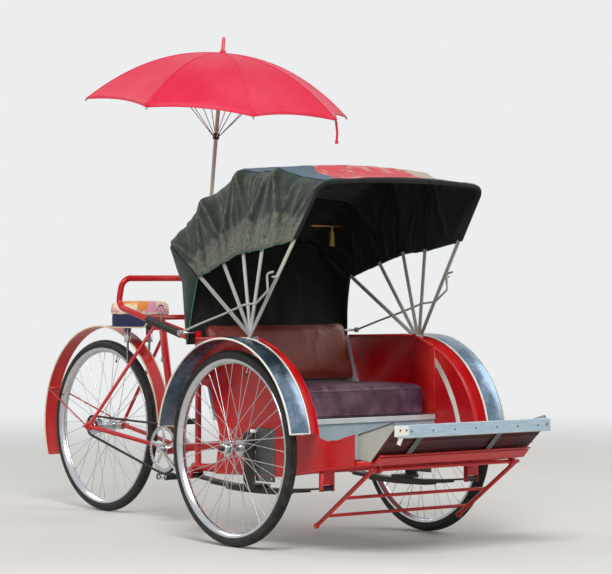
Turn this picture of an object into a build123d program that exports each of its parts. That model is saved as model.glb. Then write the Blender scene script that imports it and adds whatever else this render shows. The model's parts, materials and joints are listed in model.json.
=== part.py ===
from build123d import *
import math
import os

os.makedirs("parts", exist_ok=True)

# Wheels
rim_seat_radius = 316.0
rim_lip_radius = rim_seat_radius + 8.0
rim_inner_radius = rim_seat_radius - 12.0
tyre_height = 39.6
wheel_radius = rim_seat_radius + tyre_height
tyre_half_width = 19.5
spoke_count = 36
spoke_radius = 1.25
running_gap = 0.05
front_track = 926.0
wheelbase = 1480.0

# Outer lengths
front_reach = 787.0
rear_fender_radius = 413.0
rear_reach = wheelbase + rear_fender_radius
axle_x = (rear_reach - front_reach) / 2
rear_x = axle_x - wheelbase
axle_z = wheel_radius
king_x = axle_x - 430.0

# Carriage
wheel_clear = 88.0
body_half = front_track / 2 - wheel_clear
sheet = 3.0
rail_y = body_half - 30.0
rail_radius = 14.0
rail_back_x = axle_x - 400.0
rail_bend_x = axle_x + 200.0
rail_front_x = axle_x + 640.0
rail_back_z = 262.0
rail_bend_z = 275.0
rail_front_z = 335.0
upright_x = axle_x - 372.0
back_cross_z = 702.0
cross_radius = 10.5
seat_gap = 0.3
seat_front_x = axle_x + 161.0
back_lean = 18.0
seat_board_z = 455.0
axle_radius = 12.5
stub_radius = 6.0
thread_radius = 4.8
thread_length = 15.0
plate_y = body_half + 17.0

# Hood
pivot_x = axle_x + 25.0
pivot_z = 745.0
pivot_pin_radius = 4.0
bow_bar = 5.0
bow_width = 14.0
bow_pitch = 6.5
bow_outer_y = body_half + 40.5
bow_pin_y = bow_outer_y + 5.5
bow_lean = 0.05
bow_crown = 22.0
bow_corner = 45.0
canvas = 2.5
canvas_gap = 3.5
# number, angle ahead of upright, reach of the bow, reach of the canvas hem
bow_table = [
    (1, 33.5, 672.0, 430.0),
    (2, 9.0, 617.0, 330.0),
    (3, -12.0, 625.0, 323.0),
    (4, -35.0, 628.0, 340.0),
    (5, -57.0, 672.0, 420.0),
]

# Stand
stand_x = axle_x + 632.0
stand_z = 308.0
stand_y = rail_y - 5.0
stand_foot_x = axle_x + 323.0
stand_foot_z = 92.0
stand_radius = 8.0
stand_pin_radius = 7.0
foot_knob = 11.0

# Bicycle half
bottom_x = axle_x - 982.0
bottom_z = 285.0
lug_x = axle_x - 1080.0
lug_z = 783.0
head_low_z = 300.0
head_high_z = 676.0
king_radius = 10.0
chain_y = -63.5
ring_radius = 94.0
sprocket_radius = 37.0
crank_length = 170.0
crank_angle = 35.0

# Push hoop and umbrella
hoop_y = 280.0
hoop_radius = 12.0
umbrella_lean = 7.5
umbrella_x = axle_x - 814.0
umbrella_foot_z = 800.0
umbrella_pole_radius = 8.0
umbrella_radius = 530.0
crown_z = 1854.0


def bar(start, end, radius, mode=Mode.ADD):
    run = Vector(*end) - Vector(*start)
    with Locations(Plane(origin=start, z_dir=run)):
        Cylinder(radius, run.length, align=(Align.CENTER, Align.CENTER, Align.MIN), mode=mode)


def block(low, high, mode=Mode.ADD):
    size = [b - a for a, b in zip(low, high)]
    with Locations(tuple(low)):
        Box(*size, align=(Align.MIN, Align.MIN, Align.MIN), mode=mode)


def wheel_plane(x, y, z):
    return Plane(origin=(x, y, z), x_dir=(1, 0, 0), z_dir=(0, 0, 1))


def side_plane(y):
    return Plane(origin=(0, y, 0), x_dir=(1, 0, 0), z_dir=(0, -1, 0))


def rail_top(x):
    if x < rail_bend_x:
        low_x, low_z, high_x, high_z = upright_x + 300, rail_back_z, rail_bend_x, rail_bend_z
    else:
        low_x, low_z, high_x, high_z = rail_bend_x, rail_bend_z, rail_front_x, rail_front_z
    rise = math.atan2(high_z - low_z, high_x - low_x)
    return low_z + (x - low_x) * math.tan(rise) + rail_radius / math.cos(rise)


def back_sheet_x(z):
    return axle_x - 282.2 - (z - 559.0) * math.tan(math.radians(back_lean)) - 3.5


def ring_point(x, z, radius, degrees):
    return (x + radius * math.cos(math.radians(degrees)), z + radius * math.sin(math.radians(degrees)))


def tyre_face(plane):
    with BuildSketch(plane, mode=Mode.PRIVATE) as face:
        with BuildLine():
            bead = tyre_half_width - 8.5
            shoulder = tyre_half_width - 6.0
            wide = rim_lip_radius + 14.0
            tread = wheel_radius - 6.6
            Polyline(
                (rim_seat_radius, -bead),
                (wide, -tyre_half_width),
                (tread, -shoulder),
                (wheel_radius, 0),
                (tread, shoulder),
                (wide, tyre_half_width),
                (rim_seat_radius, bead),
                close=True,
            )
        make_face()
    return face.sketch


def rim_face(plane):
    lip = tyre_half_width - 3.7
    inside = tyre_half_width - 5.3
    with BuildSketch(plane, mode=Mode.PRIVATE) as face:
        with BuildLine():
            Polyline(
                (rim_inner_radius, -7.0),
                (rim_inner_radius, 7.0),
                (rim_seat_radius - 5.0, lip),
                (rim_lip_radius, lip),
                (rim_lip_radius, inside),
                (rim_seat_radius, inside),
                (rim_seat_radius, -inside),
                (rim_lip_radius, -inside),
                (rim_lip_radius, -lip),
                (rim_seat_radius - 5.0, -lip),
                close=True,
            )
        make_face()
    return face.sketch


def spoke(x, y, z, hub_radius, hub_y, hub_angle, rim_angle, rim_y):
    start = Vector(
        x + hub_radius * math.cos(math.radians(hub_angle)),
        y + hub_y,
        z + hub_radius * math.sin(math.radians(hub_angle)),
    )
    end = Vector(
        x + (rim_inner_radius + 2.0) * math.cos(math.radians(rim_angle)),
        y + rim_y,
        z + (rim_inner_radius + 2.0) * math.sin(math.radians(rim_angle)),
    )
    run = end - start
    wire = RegularPolygon(spoke_radius, 6, mode=Mode.PRIVATE)
    return extrude(Plane(origin=start, z_dir=run) * wire, run.length)


def spoke_set(x, y, z, hub_radius, flange_y):
    found = []
    step = 720.0 / spoke_count
    for side in (1, -1):
        for number in range(spoke_count // 2):
            turn = 1 if number % 2 == 0 else -1
            angle = number * step + (0 if side == 1 else step / 2)
            hub_y = side * flange_y + turn * 3.2
            found.append(spoke(x, y, z, hub_radius, hub_y, angle, angle + turn * 3 * step, side * 3.0))
    return found


# Front wheels
hub_half = 48.0
hub_barrel = 14.0
flange_y = 28.0
flange_radius = 30.0
for side, label in ((1, "left"), (-1, "right")):
    wheel_y = side * front_track / 2
    centre = (axle_x, wheel_y, axle_z)
    spokes = spoke_set(*centre, flange_radius - 5.0, flange_y)
    with BuildPart() as front_wheel:
        add(revolve(rim_face(wheel_plane(*centre)), Axis(centre, (0, 1, 0)), mode=Mode.PRIVATE))
        with Locations(Plane(origin=centre, z_dir=(0, 1, 0))):
            Cylinder(hub_barrel, 2 * hub_half)
            with Locations((0, 0, flange_y), (0, 0, -flange_y)):
                Cylinder(flange_radius, 3.0)
            with Locations((0, 0, hub_half - 6), (0, 0, 6 - hub_half)):
                Cylinder(hub_barrel + 5, 12.0)
        add(spokes)
        with Locations(Plane(origin=centre, z_dir=(0, 1, 0))):
            Cylinder(stub_radius + running_gap, 2 * hub_half + 2, mode=Mode.SUBTRACT)
    front_wheel.part.label = label + "_wheel"
    export_step(front_wheel.part, "parts/" + label + "_wheel.step")

    with BuildPart() as front_tyre:
        add(revolve(tyre_face(wheel_plane(*centre)), Axis(centre, (0, 1, 0)), mode=Mode.PRIVATE))
    front_tyre.part.label = label + "_tyre"
    export_step(front_tyre.part, "parts/" + label + "_tyre.step")

# Rear wheel
rear_hub_half = 72.0
rear_centre = (rear_x, 0, axle_z)
spokes = spoke_set(*rear_centre, flange_radius - 5.0, flange_y + 6)
with BuildPart() as rear_wheel:
    add(revolve(rim_face(wheel_plane(*rear_centre)), Axis(rear_centre, (0, 1, 0)), mode=Mode.PRIVATE))
    with Locations(Plane(origin=rear_centre, z_dir=(0, 1, 0))):
        Cylinder(hub_barrel + 3, 2 * rear_hub_half)
        with Locations((0, 0, flange_y + 6), (0, 0, -flange_y - 6)):
            Cylinder(flange_radius, 3.0)
        with Locations((0, 0, chain_y)):
            Cylinder(sprocket_radius, 3.0)
    add(spokes)
    with Locations(Plane(origin=rear_centre, z_dir=(0, 1, 0))):
        Cylinder(stub_radius + running_gap, 2 * rear_hub_half + 2, mode=Mode.SUBTRACT)
rear_wheel.part.label = "rear_wheel"
export_step(rear_wheel.part, "parts/rear_wheel.step")

with BuildPart() as rear_tyre:
    add(revolve(tyre_face(wheel_plane(*rear_centre)), Axis(rear_centre, (0, 1, 0)), mode=Mode.PRIVATE))
rear_tyre.part.label = "rear_tyre"
export_step(rear_tyre.part, "parts/rear_tyre.step")

# Bicycle frame
stay_radius = 9.0
stay_front_y = 38.0
stay_rear_y = 84.0
stay_top_y = 34.0
rear_axle_half = 99.0
mid_z = 556.0
tube_radius = 15.0
seat_slope = (lug_x - bottom_x) / (lug_z - bottom_z)
mid_x = lug_x + (mid_z - lug_z) * seat_slope
top_front_z = 640.0
with BuildPart() as rear_frame:
    bar((king_x, 0, head_low_z), (king_x, 0, head_high_z), 22.0)
    bar((bottom_x, 0, bottom_z), (lug_x + 12 * seat_slope, 0, lug_z + 12), tube_radius)
    bar((lug_x, 0, lug_z), (king_x, 0, top_front_z), tube_radius)
    bar((mid_x, 0, mid_z), (king_x, 0, mid_z), tube_radius - 2.5)
    bar((bottom_x, 0, bottom_z), (king_x, 0, head_low_z + 40), tube_radius + 1)
    bar((bottom_x, -46, bottom_z), (bottom_x, 46, bottom_z), 22.0)
    for side in (1, -1):
        drop = (rear_x, side * stay_rear_y, axle_z)
        bar((bottom_x, side * stay_front_y, bottom_z), drop, stay_radius)
        bar((lug_x - 12, side * stay_top_y, lug_z - 14), drop, stay_radius - 2)
        bar((rear_x, side * (stay_rear_y - 5), axle_z), (rear_x, side * (stay_rear_y + 5), axle_z), 20.0)
    bar((lug_x - 12, -stay_top_y, lug_z - 14), (lug_x - 12, stay_top_y, lug_z - 14), 11.0)
    end = rear_axle_half + thread_length
    bar((rear_x, -rear_axle_half, axle_z), (rear_x, rear_axle_half, axle_z), stub_radius)
    bar((rear_x, -end, axle_z), (rear_x, end, axle_z), thread_radius)
    bore = king_radius + running_gap
    bar((king_x, 0, head_low_z - 2), (king_x, 0, head_high_z + 2), bore, mode=Mode.SUBTRACT)
    bar((bottom_x, -50, bottom_z), (bottom_x, 50, bottom_z), 8.0 + running_gap, mode=Mode.SUBTRACT)
rear_frame.part.label = "rear_frame"
export_step(rear_frame.part, "parts/rear_frame.step")

# Saddle
saddle_nose_x = axle_x - 1060.0
saddle_back_x = axle_x - 1315.0
saddle_low_z = 812.0
saddle_top_z = 868.0
skirt_x = saddle_nose_x - 54.0
skirt_z = 766.0
strut_x = axle_x - 1245.0
post_radius = 12.0
with BuildPart() as saddle:
    with BuildSketch(Plane.XY.offset(saddle_low_z)):
        with BuildLine():
            wide_x = saddle_back_x + 60
            waist_x = saddle_nose_x - 110
            tip_x = saddle_nose_x - 20
            Polyline((tip_x, 30), (waist_x, 55), (wide_x, 112))
            ThreePointArc((wide_x, 112), (saddle_back_x, 0), (wide_x, -112))
            Polyline((wide_x, -112), (waist_x, -55), (tip_x, -30))
            ThreePointArc((tip_x, -30), (saddle_nose_x, 0), (tip_x, 30))
        make_face()
    extrude(amount=saddle_top_z - saddle_low_z)
    extrude(saddle.faces().sort_by(Axis.Z)[0], amount=saddle_low_z - skirt_z)
    block((skirt_x, -60, skirt_z - 1), (saddle_nose_x + 10, 60, saddle_low_z), mode=Mode.SUBTRACT)
    fillet(saddle.faces().sort_by(Axis.Z)[-1].edges(), 14)
saddle.part.label = "saddle"
export_step(saddle.part, "parts/saddle.step")

post_x = lug_x + 12 * seat_slope
strut_share = (strut_x - rear_x) / (lug_x - 12 - rear_x)
strut_y = stay_rear_y + (stay_top_y - stay_rear_y) * strut_share
strut_z = axle_z + (lug_z - 14 - axle_z) * strut_share
with BuildPart() as saddle_frame:
    bar((post_x, 0, lug_z + 16.0), (post_x, 0, saddle_low_z - 0.3), post_radius)
    for side in (1, -1):
        bar((strut_x, side * strut_y, strut_z + 15.5), (strut_x, side * strut_y, skirt_z - 0.3), 5.0)
        bar((strut_x, side * strut_y, skirt_z - 60), (strut_x, side * strut_y, skirt_z - 0.3), 14.0)
saddle_frame.part.label = "saddle_frame"
export_step(saddle_frame.part, "parts/saddle_frame.step")

# Rear fender
with BuildPart() as rear_fender:
    with BuildSketch(side_plane(30)):
        with BuildLine():
            middle = (rear_x, axle_z)
            a, b, c = (ring_point(*middle, rear_fender_radius, t) for t in (2.0, 100.0, 200.0))
            d, e, f = (ring_point(*middle, rear_fender_radius - sheet, t) for t in (200.0, 100.0, 2.0))
            ThreePointArc(a, b, c)
            Line(c, d)
            ThreePointArc(d, e, f)
            Line(f, a)
        make_face()
    extrude(amount=60)
    for side in (1, -1):
        tip = ring_point(*middle, rear_fender_radius - sheet / 2, 160.0)
        bar((rear_x, side * 96, axle_z), (tip[0], side * 29, tip[1]), 3.0)
        bar((rear_x, side * 93.5, axle_z), (rear_x, side * 98.5, axle_z), 12.0)
    bar((rear_x, -105, axle_z), (rear_x, 105, axle_z), stub_radius, mode=Mode.SUBTRACT)
rear_fender.part.label = "rear_fender"
export_step(rear_fender.part, "parts/rear_fender.step")

# Chain, one closed band round the two toothed wheels
chain_gap = 0.6
chain_depth = 7.0
chain_width = 5.6


def chain_loop(reach):
    with BuildSketch(mode=Mode.PRIVATE) as loop:
        with Locations((bottom_x, bottom_z)):
            Circle(ring_radius + reach)
        with Locations((rear_x, axle_z)):
            Circle(sprocket_radius + reach)
        make_hull()
    return loop.sketch


with BuildPart() as chain:
    with BuildSketch(side_plane(chain_y + chain_width / 2)):
        add(chain_loop(chain_gap + chain_depth))
        add(chain_loop(chain_gap), mode=Mode.SUBTRACT)
    extrude(amount=chain_width)
chain.part.label = "chain"
export_step(chain.part, "parts/chain.step")

# Cranks and pedals
crank_slope = math.radians(crank_angle)
crank_run = (crank_length * math.cos(crank_slope), -crank_length * math.sin(crank_slope))
crank_y = 80.0
pedal_radius = 5.0
pedal_length = 64.0
pedal_width = 84.0
ring_hole_count = 5
ring_hole_centre = 54.0
ring_hole_radius = 21.0
with BuildPart() as crankset:
    bar((bottom_x, -crank_y - 6, bottom_z), (bottom_x, crank_y + 6, bottom_z), 8.0)
    bar((bottom_x, chain_y - 1.5, bottom_z), (bottom_x, chain_y + 1.5, bottom_z), ring_radius)
    with Locations(Plane(origin=(bottom_x, chain_y, bottom_z), z_dir=(0, 1, 0))):
        with PolarLocations(ring_hole_centre, ring_hole_count):
            Cylinder(ring_hole_radius, 4.0, mode=Mode.SUBTRACT)
    for side in (1, -1):
        near = (bottom_x, side * crank_y, bottom_z)
        far = (bottom_x - side * crank_run[0], side * crank_y, bottom_z - side * crank_run[1])
        bar(near, far, 7.0)
        bar((near[0], side * (crank_y - 8), near[2]), (near[0], side * (crank_y + 8), near[2]), 14.0)
        bar((far[0], side * (crank_y - 8), far[2]), (far[0], side * (crank_y + 8), far[2]), 11.0)
        bar((far[0], side * crank_y, far[2]), (far[0], side * (crank_y + 98), far[2]), pedal_radius)
crankset.part.label = "crankset"
export_step(crankset.part, "parts/crankset.step")

for side, label in ((1, "left"), (-1, "right")):
    pedal_y = side * (crank_y + 56)
    pedal_centre = (bottom_x - side * crank_run[0], pedal_y, bottom_z - side * crank_run[1])
    with BuildPart() as pedal:
        with Locations(pedal_centre):
            Box(pedal_length, pedal_width, 10)
            Cylinder(11, pedal_width + 2, rotation=(90, 0, 0))
            with Locations((-26, 0, 0), (26, 0, 0)):
                Box(14, pedal_width, 24)
            Cylinder(pedal_radius + running_gap, 100, rotation=(90, 0, 0), mode=Mode.SUBTRACT)
    pedal.part.label = label + "_pedal"
    export_step(pedal.part, "parts/" + label + "_pedal.step")

# Carriage chassis
spring_seat_z = 222.0
leaf_thick = 7.0
leaf_width = 44.0
spring_eye_z = 232.0
spring_reach = 380.0
bracket_half = 26.0
upright_top_z = 770.0
stand_lug_y = stand_y - 24.0
with BuildPart() as chassis:
    for side in (1, -1):
        y = side * rail_y
        with BuildLine() as rail_path:
            FilletPolyline(
                (rail_back_x, y, rail_back_z),
                (upright_x + 300, y, rail_back_z),
                (rail_bend_x, y, rail_bend_z),
                (rail_front_x, y, rail_front_z),
                radius=200,
            )
        with BuildSketch(Plane(origin=rail_path.line @ 0, z_dir=rail_path.line % 0)):
            Circle(rail_radius)
        sweep()
        for end in (-1, 1):
            x = axle_x + end * (spring_reach + 6)
            top = rail_back_z if end < 0 else rail_bend_z + 18
            half = leaf_width / 2
            eye_z = spring_eye_z - 3
            for shift in (-1, 1):
                cheek = y + shift * (half + 3)
                block((x - 11, cheek - 2, spring_eye_z - 14), (x + 11, cheek + 2, top))
            block((x - 11, y - half - 3, spring_eye_z + 9), (x + 11, y + half + 3, top - 2))
            bar((x, y - half - 9, eye_z), (x, y + half + 9, eye_z), 5.0)
        bar((upright_x, y, rail_back_z), (upright_x, y, upright_top_z), 12.0)
        lug = side * stand_lug_y
        bar((stand_x, lug - 6, stand_z), (stand_x, lug + 6, stand_z), 14.0)
        block((stand_x - 12, lug - 6, stand_z), (stand_x + 12, lug + 6, rail_front_z))
    for x, z in (
        (rail_front_x, rail_front_z),
        (rail_bend_x, rail_bend_z),
        (upright_x, rail_back_z),
        (upright_x, back_cross_z),
    ):
        bar((x, -rail_y, z), (x, rail_y, z), cross_radius)
    tab_x = back_sheet_x(back_cross_z + 4) - seat_gap
    for y in (-200, 180):
        block((upright_x, y, back_cross_z - 7), (tab_x, y + 20, back_cross_z + 4))
    for low, high in ((head_high_z + 5, back_cross_z + 4), (rail_back_z - 4, head_low_z - 5)):
        block((king_x, -bracket_half, low), (upright_x, bracket_half, high))
        bar((king_x, 0, low), (king_x, 0, high), bracket_half + 4)
    bar((king_x, 0, rail_back_z - 10), (king_x, 0, back_cross_z + 10), king_radius, mode=Mode.SUBTRACT)
    lug_end_y = stand_lug_y + 14.0
    lug_bore = stand_pin_radius + running_gap
    bar((stand_x, -lug_end_y, stand_z), (stand_x, lug_end_y, stand_z), lug_bore, mode=Mode.SUBTRACT)
chassis.part.label = "chassis"
export_step(chassis.part, "parts/chassis.step")

with BuildPart() as king_pin:
    bar((king_x, 0, rail_back_z - 22), (king_x, 0, back_cross_z + 18), king_radius)
    bar((king_x, 0, back_cross_z + 4), (king_x, 0, back_cross_z + 16), 17.0)
    bar((king_x, 0, rail_back_z - 18), (king_x, 0, rail_back_z - 4), 17.0)
king_pin.part.label = "king_pin"
export_step(king_pin.part, "parts/king_pin.step")

# Front axle and springs
hub_inner_y = front_track / 2 - hub_half
stub_end_y = front_track / 2 + 65.0
plate_top_z = 410.0
with BuildPart() as front_axle:
    bar((axle_x, -hub_inner_y + 1, axle_z), (axle_x, hub_inner_y - 1, axle_z), axle_radius)
    bar((axle_x, -stub_end_y, axle_z), (axle_x, stub_end_y, axle_z), stub_radius)
    for side in (1, -1):
        y = side * plate_y
        low = spring_seat_z - 12
        block((axle_x - 32, y - 4, low), (axle_x + 32, y + 4, plate_top_z))
        near, far = sorted((side * (rail_y - leaf_width / 2), side * (plate_y + 4)))
        block((axle_x - 38, near, low), (axle_x + 38, far, spring_seat_z))
        end = front_track / 2 + hub_half
        bar((axle_x, side * (end + 0.5), axle_z), (axle_x, side * (end + 8), axle_z), 10.0)
front_axle.part.label = "front_axle"
export_step(front_axle.part, "parts/front_axle.step")

spring_top = spring_seat_z - 12.5
with BuildPart() as leaf_springs:
    for side in (1, -1):
        for order, reach in enumerate((spring_reach, 270.0, 170.0)):
            high = spring_top - order * leaf_thick
            rise = (spring_eye_z - spring_top) * (reach / spring_reach) ** 2
            with BuildSketch(side_plane(side * rail_y + leaf_width / 2)):
                with BuildLine():
                    low = high - leaf_thick
                    back, ahead = axle_x - reach, axle_x + reach
                    ThreePointArc((back, high + rise), (axle_x, high), (ahead, high + rise))
                    Line((ahead, high + rise), (ahead, low + rise))
                    ThreePointArc((ahead, low + rise), (axle_x, low), (back, low + rise))
                    Line((back, low + rise), (back, high + rise))
                make_face()
            extrude(amount=leaf_width)
        for end in (-1, 1):
            x = axle_x + end * (spring_reach + 6)
            near, far = side * rail_y - leaf_width / 2, side * rail_y + leaf_width / 2
            eye_z = spring_eye_z - 3
            bar((x, near, eye_z), (x, far, eye_z), 10.0)
            bar((x, near - 1, eye_z), (x, far + 1, eye_z), 5.0, mode=Mode.SUBTRACT)
leaf_springs.part.label = "leaf_springs"
export_step(leaf_springs.part, "parts/leaf_springs.step")

# Side panels with wheel arch and slot for the axle
arch_radius = wheel_radius + 28.4
arch_low, arch_high = 8.0, 68.0
with BuildPart() as side_panels:
    for side in (1, -1):
        with BuildSketch(side_plane(side * body_half + (0 if side == 1 else sheet))):
            with BuildLine():
                arch = [ring_point(axle_x, axle_z, arch_radius, t) for t in (arch_high, 40.0, arch_low)]
                Polyline((axle_x + 30, 752), (axle_x - 348, 742), (axle_x - 348, 588), (axle_x - 258, 560))
                Polyline((axle_x - 258, 560), (axle_x - 200, 400), (axle_x - 225, 250), (axle_x + 200, 262))
                Polyline((axle_x + 200, 262), (axle_x + 572, 322), (axle_x + 572, 424), (axle_x + 513, 409))
                ThreePointArc((axle_x + 513, 409), (axle_x + 440, 397), arch[2])
                ThreePointArc(*reversed(arch))
                Line(arch[0], (axle_x + 30, 752))
            make_face()
        extrude(amount=sheet)
        y = side * (body_half - sheet / 2)
        block((axle_x - 20, y - 5, 300), (axle_x + 20, y + 5, 420), mode=Mode.SUBTRACT)
        bar((axle_x - 348, y, 742), (axle_x + 30, y, 752), 6.0)
        bar((axle_x + 30, y, 752), (arch[0][0], y, arch[0][1]), 6.0)
side_panels.part.label = "side_panels"
export_step(side_panels.part, "parts/side_panels.step")

# Seat box
inner_half = body_half - sheet - 6.5
with BuildPart() as seat_box:
    back_x = back_sheet_x(seat_board_z)
    block((back_x, -inner_half, seat_board_z - 12), (seat_front_x, inner_half, seat_board_z))
    block(
        (seat_front_x - sheet, -inner_half, rail_top(seat_front_x) + sheet + 2 * seat_gap),
        (seat_front_x, inner_half, seat_board_z - 12),
    )
    with BuildSketch(side_plane(inner_half)):
        with BuildLine():
            low, high = seat_board_z - 12, 742.0
            Polyline(
                (back_sheet_x(low), low),
                (back_sheet_x(high), high),
                (back_sheet_x(high) + sheet, high),
                (back_sheet_x(low) + sheet, low),
                close=True,
            )
        make_face()
    extrude(amount=2 * inner_half)
seat_box.part.label = "seat_box"
export_step(seat_box.part, "parts/seat_box.step")

# Floor and raked front
floor_back = (seat_front_x - 20, rail_top(seat_front_x - 20) + 0.3)
floor_bend = (rail_bend_x, rail_top(rail_bend_x) + 0.5)
floor_knee = (rail_front_x, rail_top(rail_front_x) + 0.3)
floor_tip = (axle_x + 772.0, 462.0)
floor_half = body_half - 17.0
with BuildPart() as floor_pan:
    with BuildSketch(side_plane(floor_half)):
        with BuildLine():
            Polyline(
                floor_back,
                floor_bend,
                floor_knee,
                floor_tip,
                (floor_tip[0] - 4, floor_tip[1] + 3),
                (floor_knee[0] - 2, floor_knee[1] + sheet),
                (floor_bend[0], floor_bend[1] + sheet),
                (floor_back[0], floor_back[1] + sheet),
                close=True,
            )
        make_face()
    extrude(amount=2 * floor_half)
    for y in (floor_half, sheet - floor_half):
        with BuildSketch(side_plane(y)):
            with BuildLine():
                foot, top = (axle_x + 574, 341.5), (axle_x + 574, 426)
                Polyline(foot, floor_knee, floor_tip, (axle_x + 760, 476), top, close=True)
            make_face()
        extrude(amount=sheet)
floor_pan.part.label = "floor_pan"
export_step(floor_pan.part, "parts/floor_pan.step")

board_thick = 12.0
rake = Vector(floor_tip[0] - floor_knee[0], 0, floor_tip[1] - floor_knee[1])
with BuildPart() as front_board:
    foot = (floor_knee[0], 0, floor_knee[1])
    with Locations(Plane(origin=foot, x_dir=rake, z_dir=Vector(0, 1, 0).cross(rake))):
        with Locations((rake.length / 2, 0, board_thick / 2)):
            Box(rake.length - 14, 2 * floor_half, board_thick)
front_board.part.label = "front_board"
export_step(front_board.part, "parts/front_board.step")

strip_half = floor_half + 4
strip_x = axle_x + front_reach
strip_low_z, strip_high_z = 424.0, 468.0
with BuildPart() as foot_strip:
    block((strip_x - sheet, -strip_half, strip_low_z), (strip_x, strip_half, strip_high_z))
    block((strip_x - 17.4, -strip_half, strip_high_z - sheet), (strip_x, strip_half, strip_high_z))
foot_strip.part.label = "foot_strip"
export_step(foot_strip.part, "parts/foot_strip.step")

# Cushion and back
cushion_half = body_half - 17.0
seat_back_half = body_half - 25.0
with BuildPart() as seat_cushion:
    block((axle_x - 240, -cushion_half, seat_board_z + 0.3), (seat_front_x + 6, cushion_half, 584))
    fillet(seat_cushion.edges().filter_by(Axis.Y), 18)
seat_cushion.part.label = "seat_cushion"
export_step(seat_cushion.part, "parts/seat_cushion.step")

back_tilt = math.radians(back_lean)
back_thick = 36.0
back_low_z = 592.0
back_face = back_sheet_x(back_low_z) + 3.3 + 0.5 + back_thick / 2 / math.cos(back_tilt)
back_plane = Plane(
    origin=(back_face, 0, back_low_z),
    x_dir=(0, 1, 0),
    z_dir=(-math.sin(back_tilt), 0, math.cos(back_tilt)),
)
with BuildPart() as seat_back:
    with Locations(back_plane):
        Box(2 * seat_back_half, back_thick, 226, align=(Align.CENTER, Align.CENTER, Align.MIN))
    fillet(seat_back.edges().filter_by(Axis.Y), 12)
seat_back.part.label = "seat_back"
export_step(seat_back.part, "parts/seat_back.step")

# Front fenders, crowned sheet with rolled edges
fender_radius = wheel_radius + 36.4
fender_in_y, fender_out_y = front_track / 2 - 37.0, front_track / 2 + 50.0
fender_crown = 6.0
fender_bead = 3.0
fender_front = 10.0
fender_sweep = 161.0
for side, label in ((1, "left"), (-1, "right")):
    hub = (axle_x, 0, axle_z)
    start = math.radians(fender_front)
    section = Plane(
        origin=hub,
        x_dir=(math.cos(start), 0, math.sin(start)),
        z_dir=(-math.sin(start), 0, math.cos(start)),
    )
    near, far = side * fender_in_y, side * fender_out_y
    low, high = near + (far - near) * 0.3, near + (far - near) * 0.7
    inside = fender_radius - sheet
    with BuildPart() as fender:
        with BuildSketch(section):
            with BuildLine():
                Polyline(
                    (fender_radius, near),
                    (fender_radius + fender_crown, low),
                    (fender_radius + fender_crown, high),
                    (fender_radius, far),
                    (inside, far),
                    (inside + fender_crown, high),
                    (inside + fender_crown, low),
                    (inside, near),
                    close=True,
                )
            make_face()
            bead = fender_radius - sheet / 2
            with Locations((bead, near + side * fender_bead), (bead, far - side * fender_bead)):
                RegularPolygon(fender_bead, 6)
        revolve(axis=Axis(hub, (0, -1, 0)), revolution_arc=fender_sweep)
        for degrees in (28.0, 50.0, 118.0, 138.0):
            x, z = ring_point(axle_x, axle_z, fender_radius - 10, degrees)
            inner, outer = sorted((side * (body_half + 0.2), side * (fender_in_y + 12)))
            block((x - 9, inner, z - 6), (x + 9, outer, z + 6))
    fender.part.label = label + "_fender"
    export_step(fender.part, "parts/" + label + "_fender.step")

# Push hoop
hoop_back_x = axle_x - 988.0
hoop_front_x = upright_x
hoop_slope = 0.2475
hoop_low = back_cross_z + 4.0
hoop_rear_z = hoop_low + (hoop_front_x - hoop_back_x) * hoop_slope
hoop_top_z = 968.0
hoop_short = 6.0
with BuildPart() as push_hoop:
    with BuildLine() as hoop_path:
        FilletPolyline(
            (hoop_front_x - hoop_short, hoop_y, hoop_low + hoop_short * hoop_slope),
            (hoop_back_x, hoop_y, hoop_rear_z),
            (hoop_back_x + 30, hoop_y, hoop_top_z),
            (hoop_back_x + 30, -hoop_y, hoop_top_z),
            (hoop_back_x, -hoop_y, hoop_rear_z),
            (hoop_front_x - hoop_short, -hoop_y, hoop_low + hoop_short * hoop_slope),
            radius=38,
        )
    with BuildSketch(Plane(origin=hoop_path.line @ 0, z_dir=hoop_path.line % 0)):
        Circle(hoop_radius)
    sweep()
    cross_x = umbrella_x + 2
    cross_z = hoop_low + (hoop_front_x - cross_x) * hoop_slope
    bar((cross_x, -hoop_y, cross_z), (cross_x, hoop_y, cross_z), 10.0)
    lean = (math.tan(math.radians(umbrella_lean)), 1.0)
    foot = (umbrella_x, 0, umbrella_foot_z)
    head = (umbrella_x + 105 * lean[0], 0, umbrella_foot_z + 105)
    bar(foot, head, 14.0)
    past = (umbrella_x + 120 * lean[0], 0, umbrella_foot_z + 120)
    near = (umbrella_x + 6 * lean[0], 0, umbrella_foot_z + 6)
    bar(near, past, umbrella_pole_radius + 0.1, mode=Mode.SUBTRACT)
    back_ends = [(upright_x, y, back_cross_z) for y in (-rail_y, rail_y)]
    bar(*back_ends, cross_radius, mode=Mode.SUBTRACT)
push_hoop.part.label = "push_hoop"
export_step(push_hoop.part, "parts/push_hoop.step")

with BuildPart() as grips:
    for side in (1, -1):
        ends = []
        for x in (axle_x - 571, axle_x - 784):
            ends.append((x, side * hoop_y, hoop_low + (hoop_front_x - x) * hoop_slope))
        bar(ends[0], ends[1], 16.0)
        run = Vector(*ends[1]) - Vector(*ends[0])
        a, b = Vector(*ends[0]) - run * 0.1, Vector(*ends[1]) + run * 0.1
        bar(tuple(a), tuple(b), hoop_radius, mode=Mode.SUBTRACT)
grips.part.label = "grips"
export_step(grips.part, "parts/grips.step")

# Umbrella
tip = math.radians(umbrella_lean)
lean_plane = Plane(
    origin=(umbrella_x, 0, umbrella_foot_z),
    x_dir=(math.cos(tip), 0, -math.sin(tip)),
    z_dir=(math.sin(tip), 0, math.cos(tip)),
)
pole_length = (crown_z - umbrella_foot_z) / math.cos(tip)
rib_seat = 9.0
runner_drop = 330.0
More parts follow.
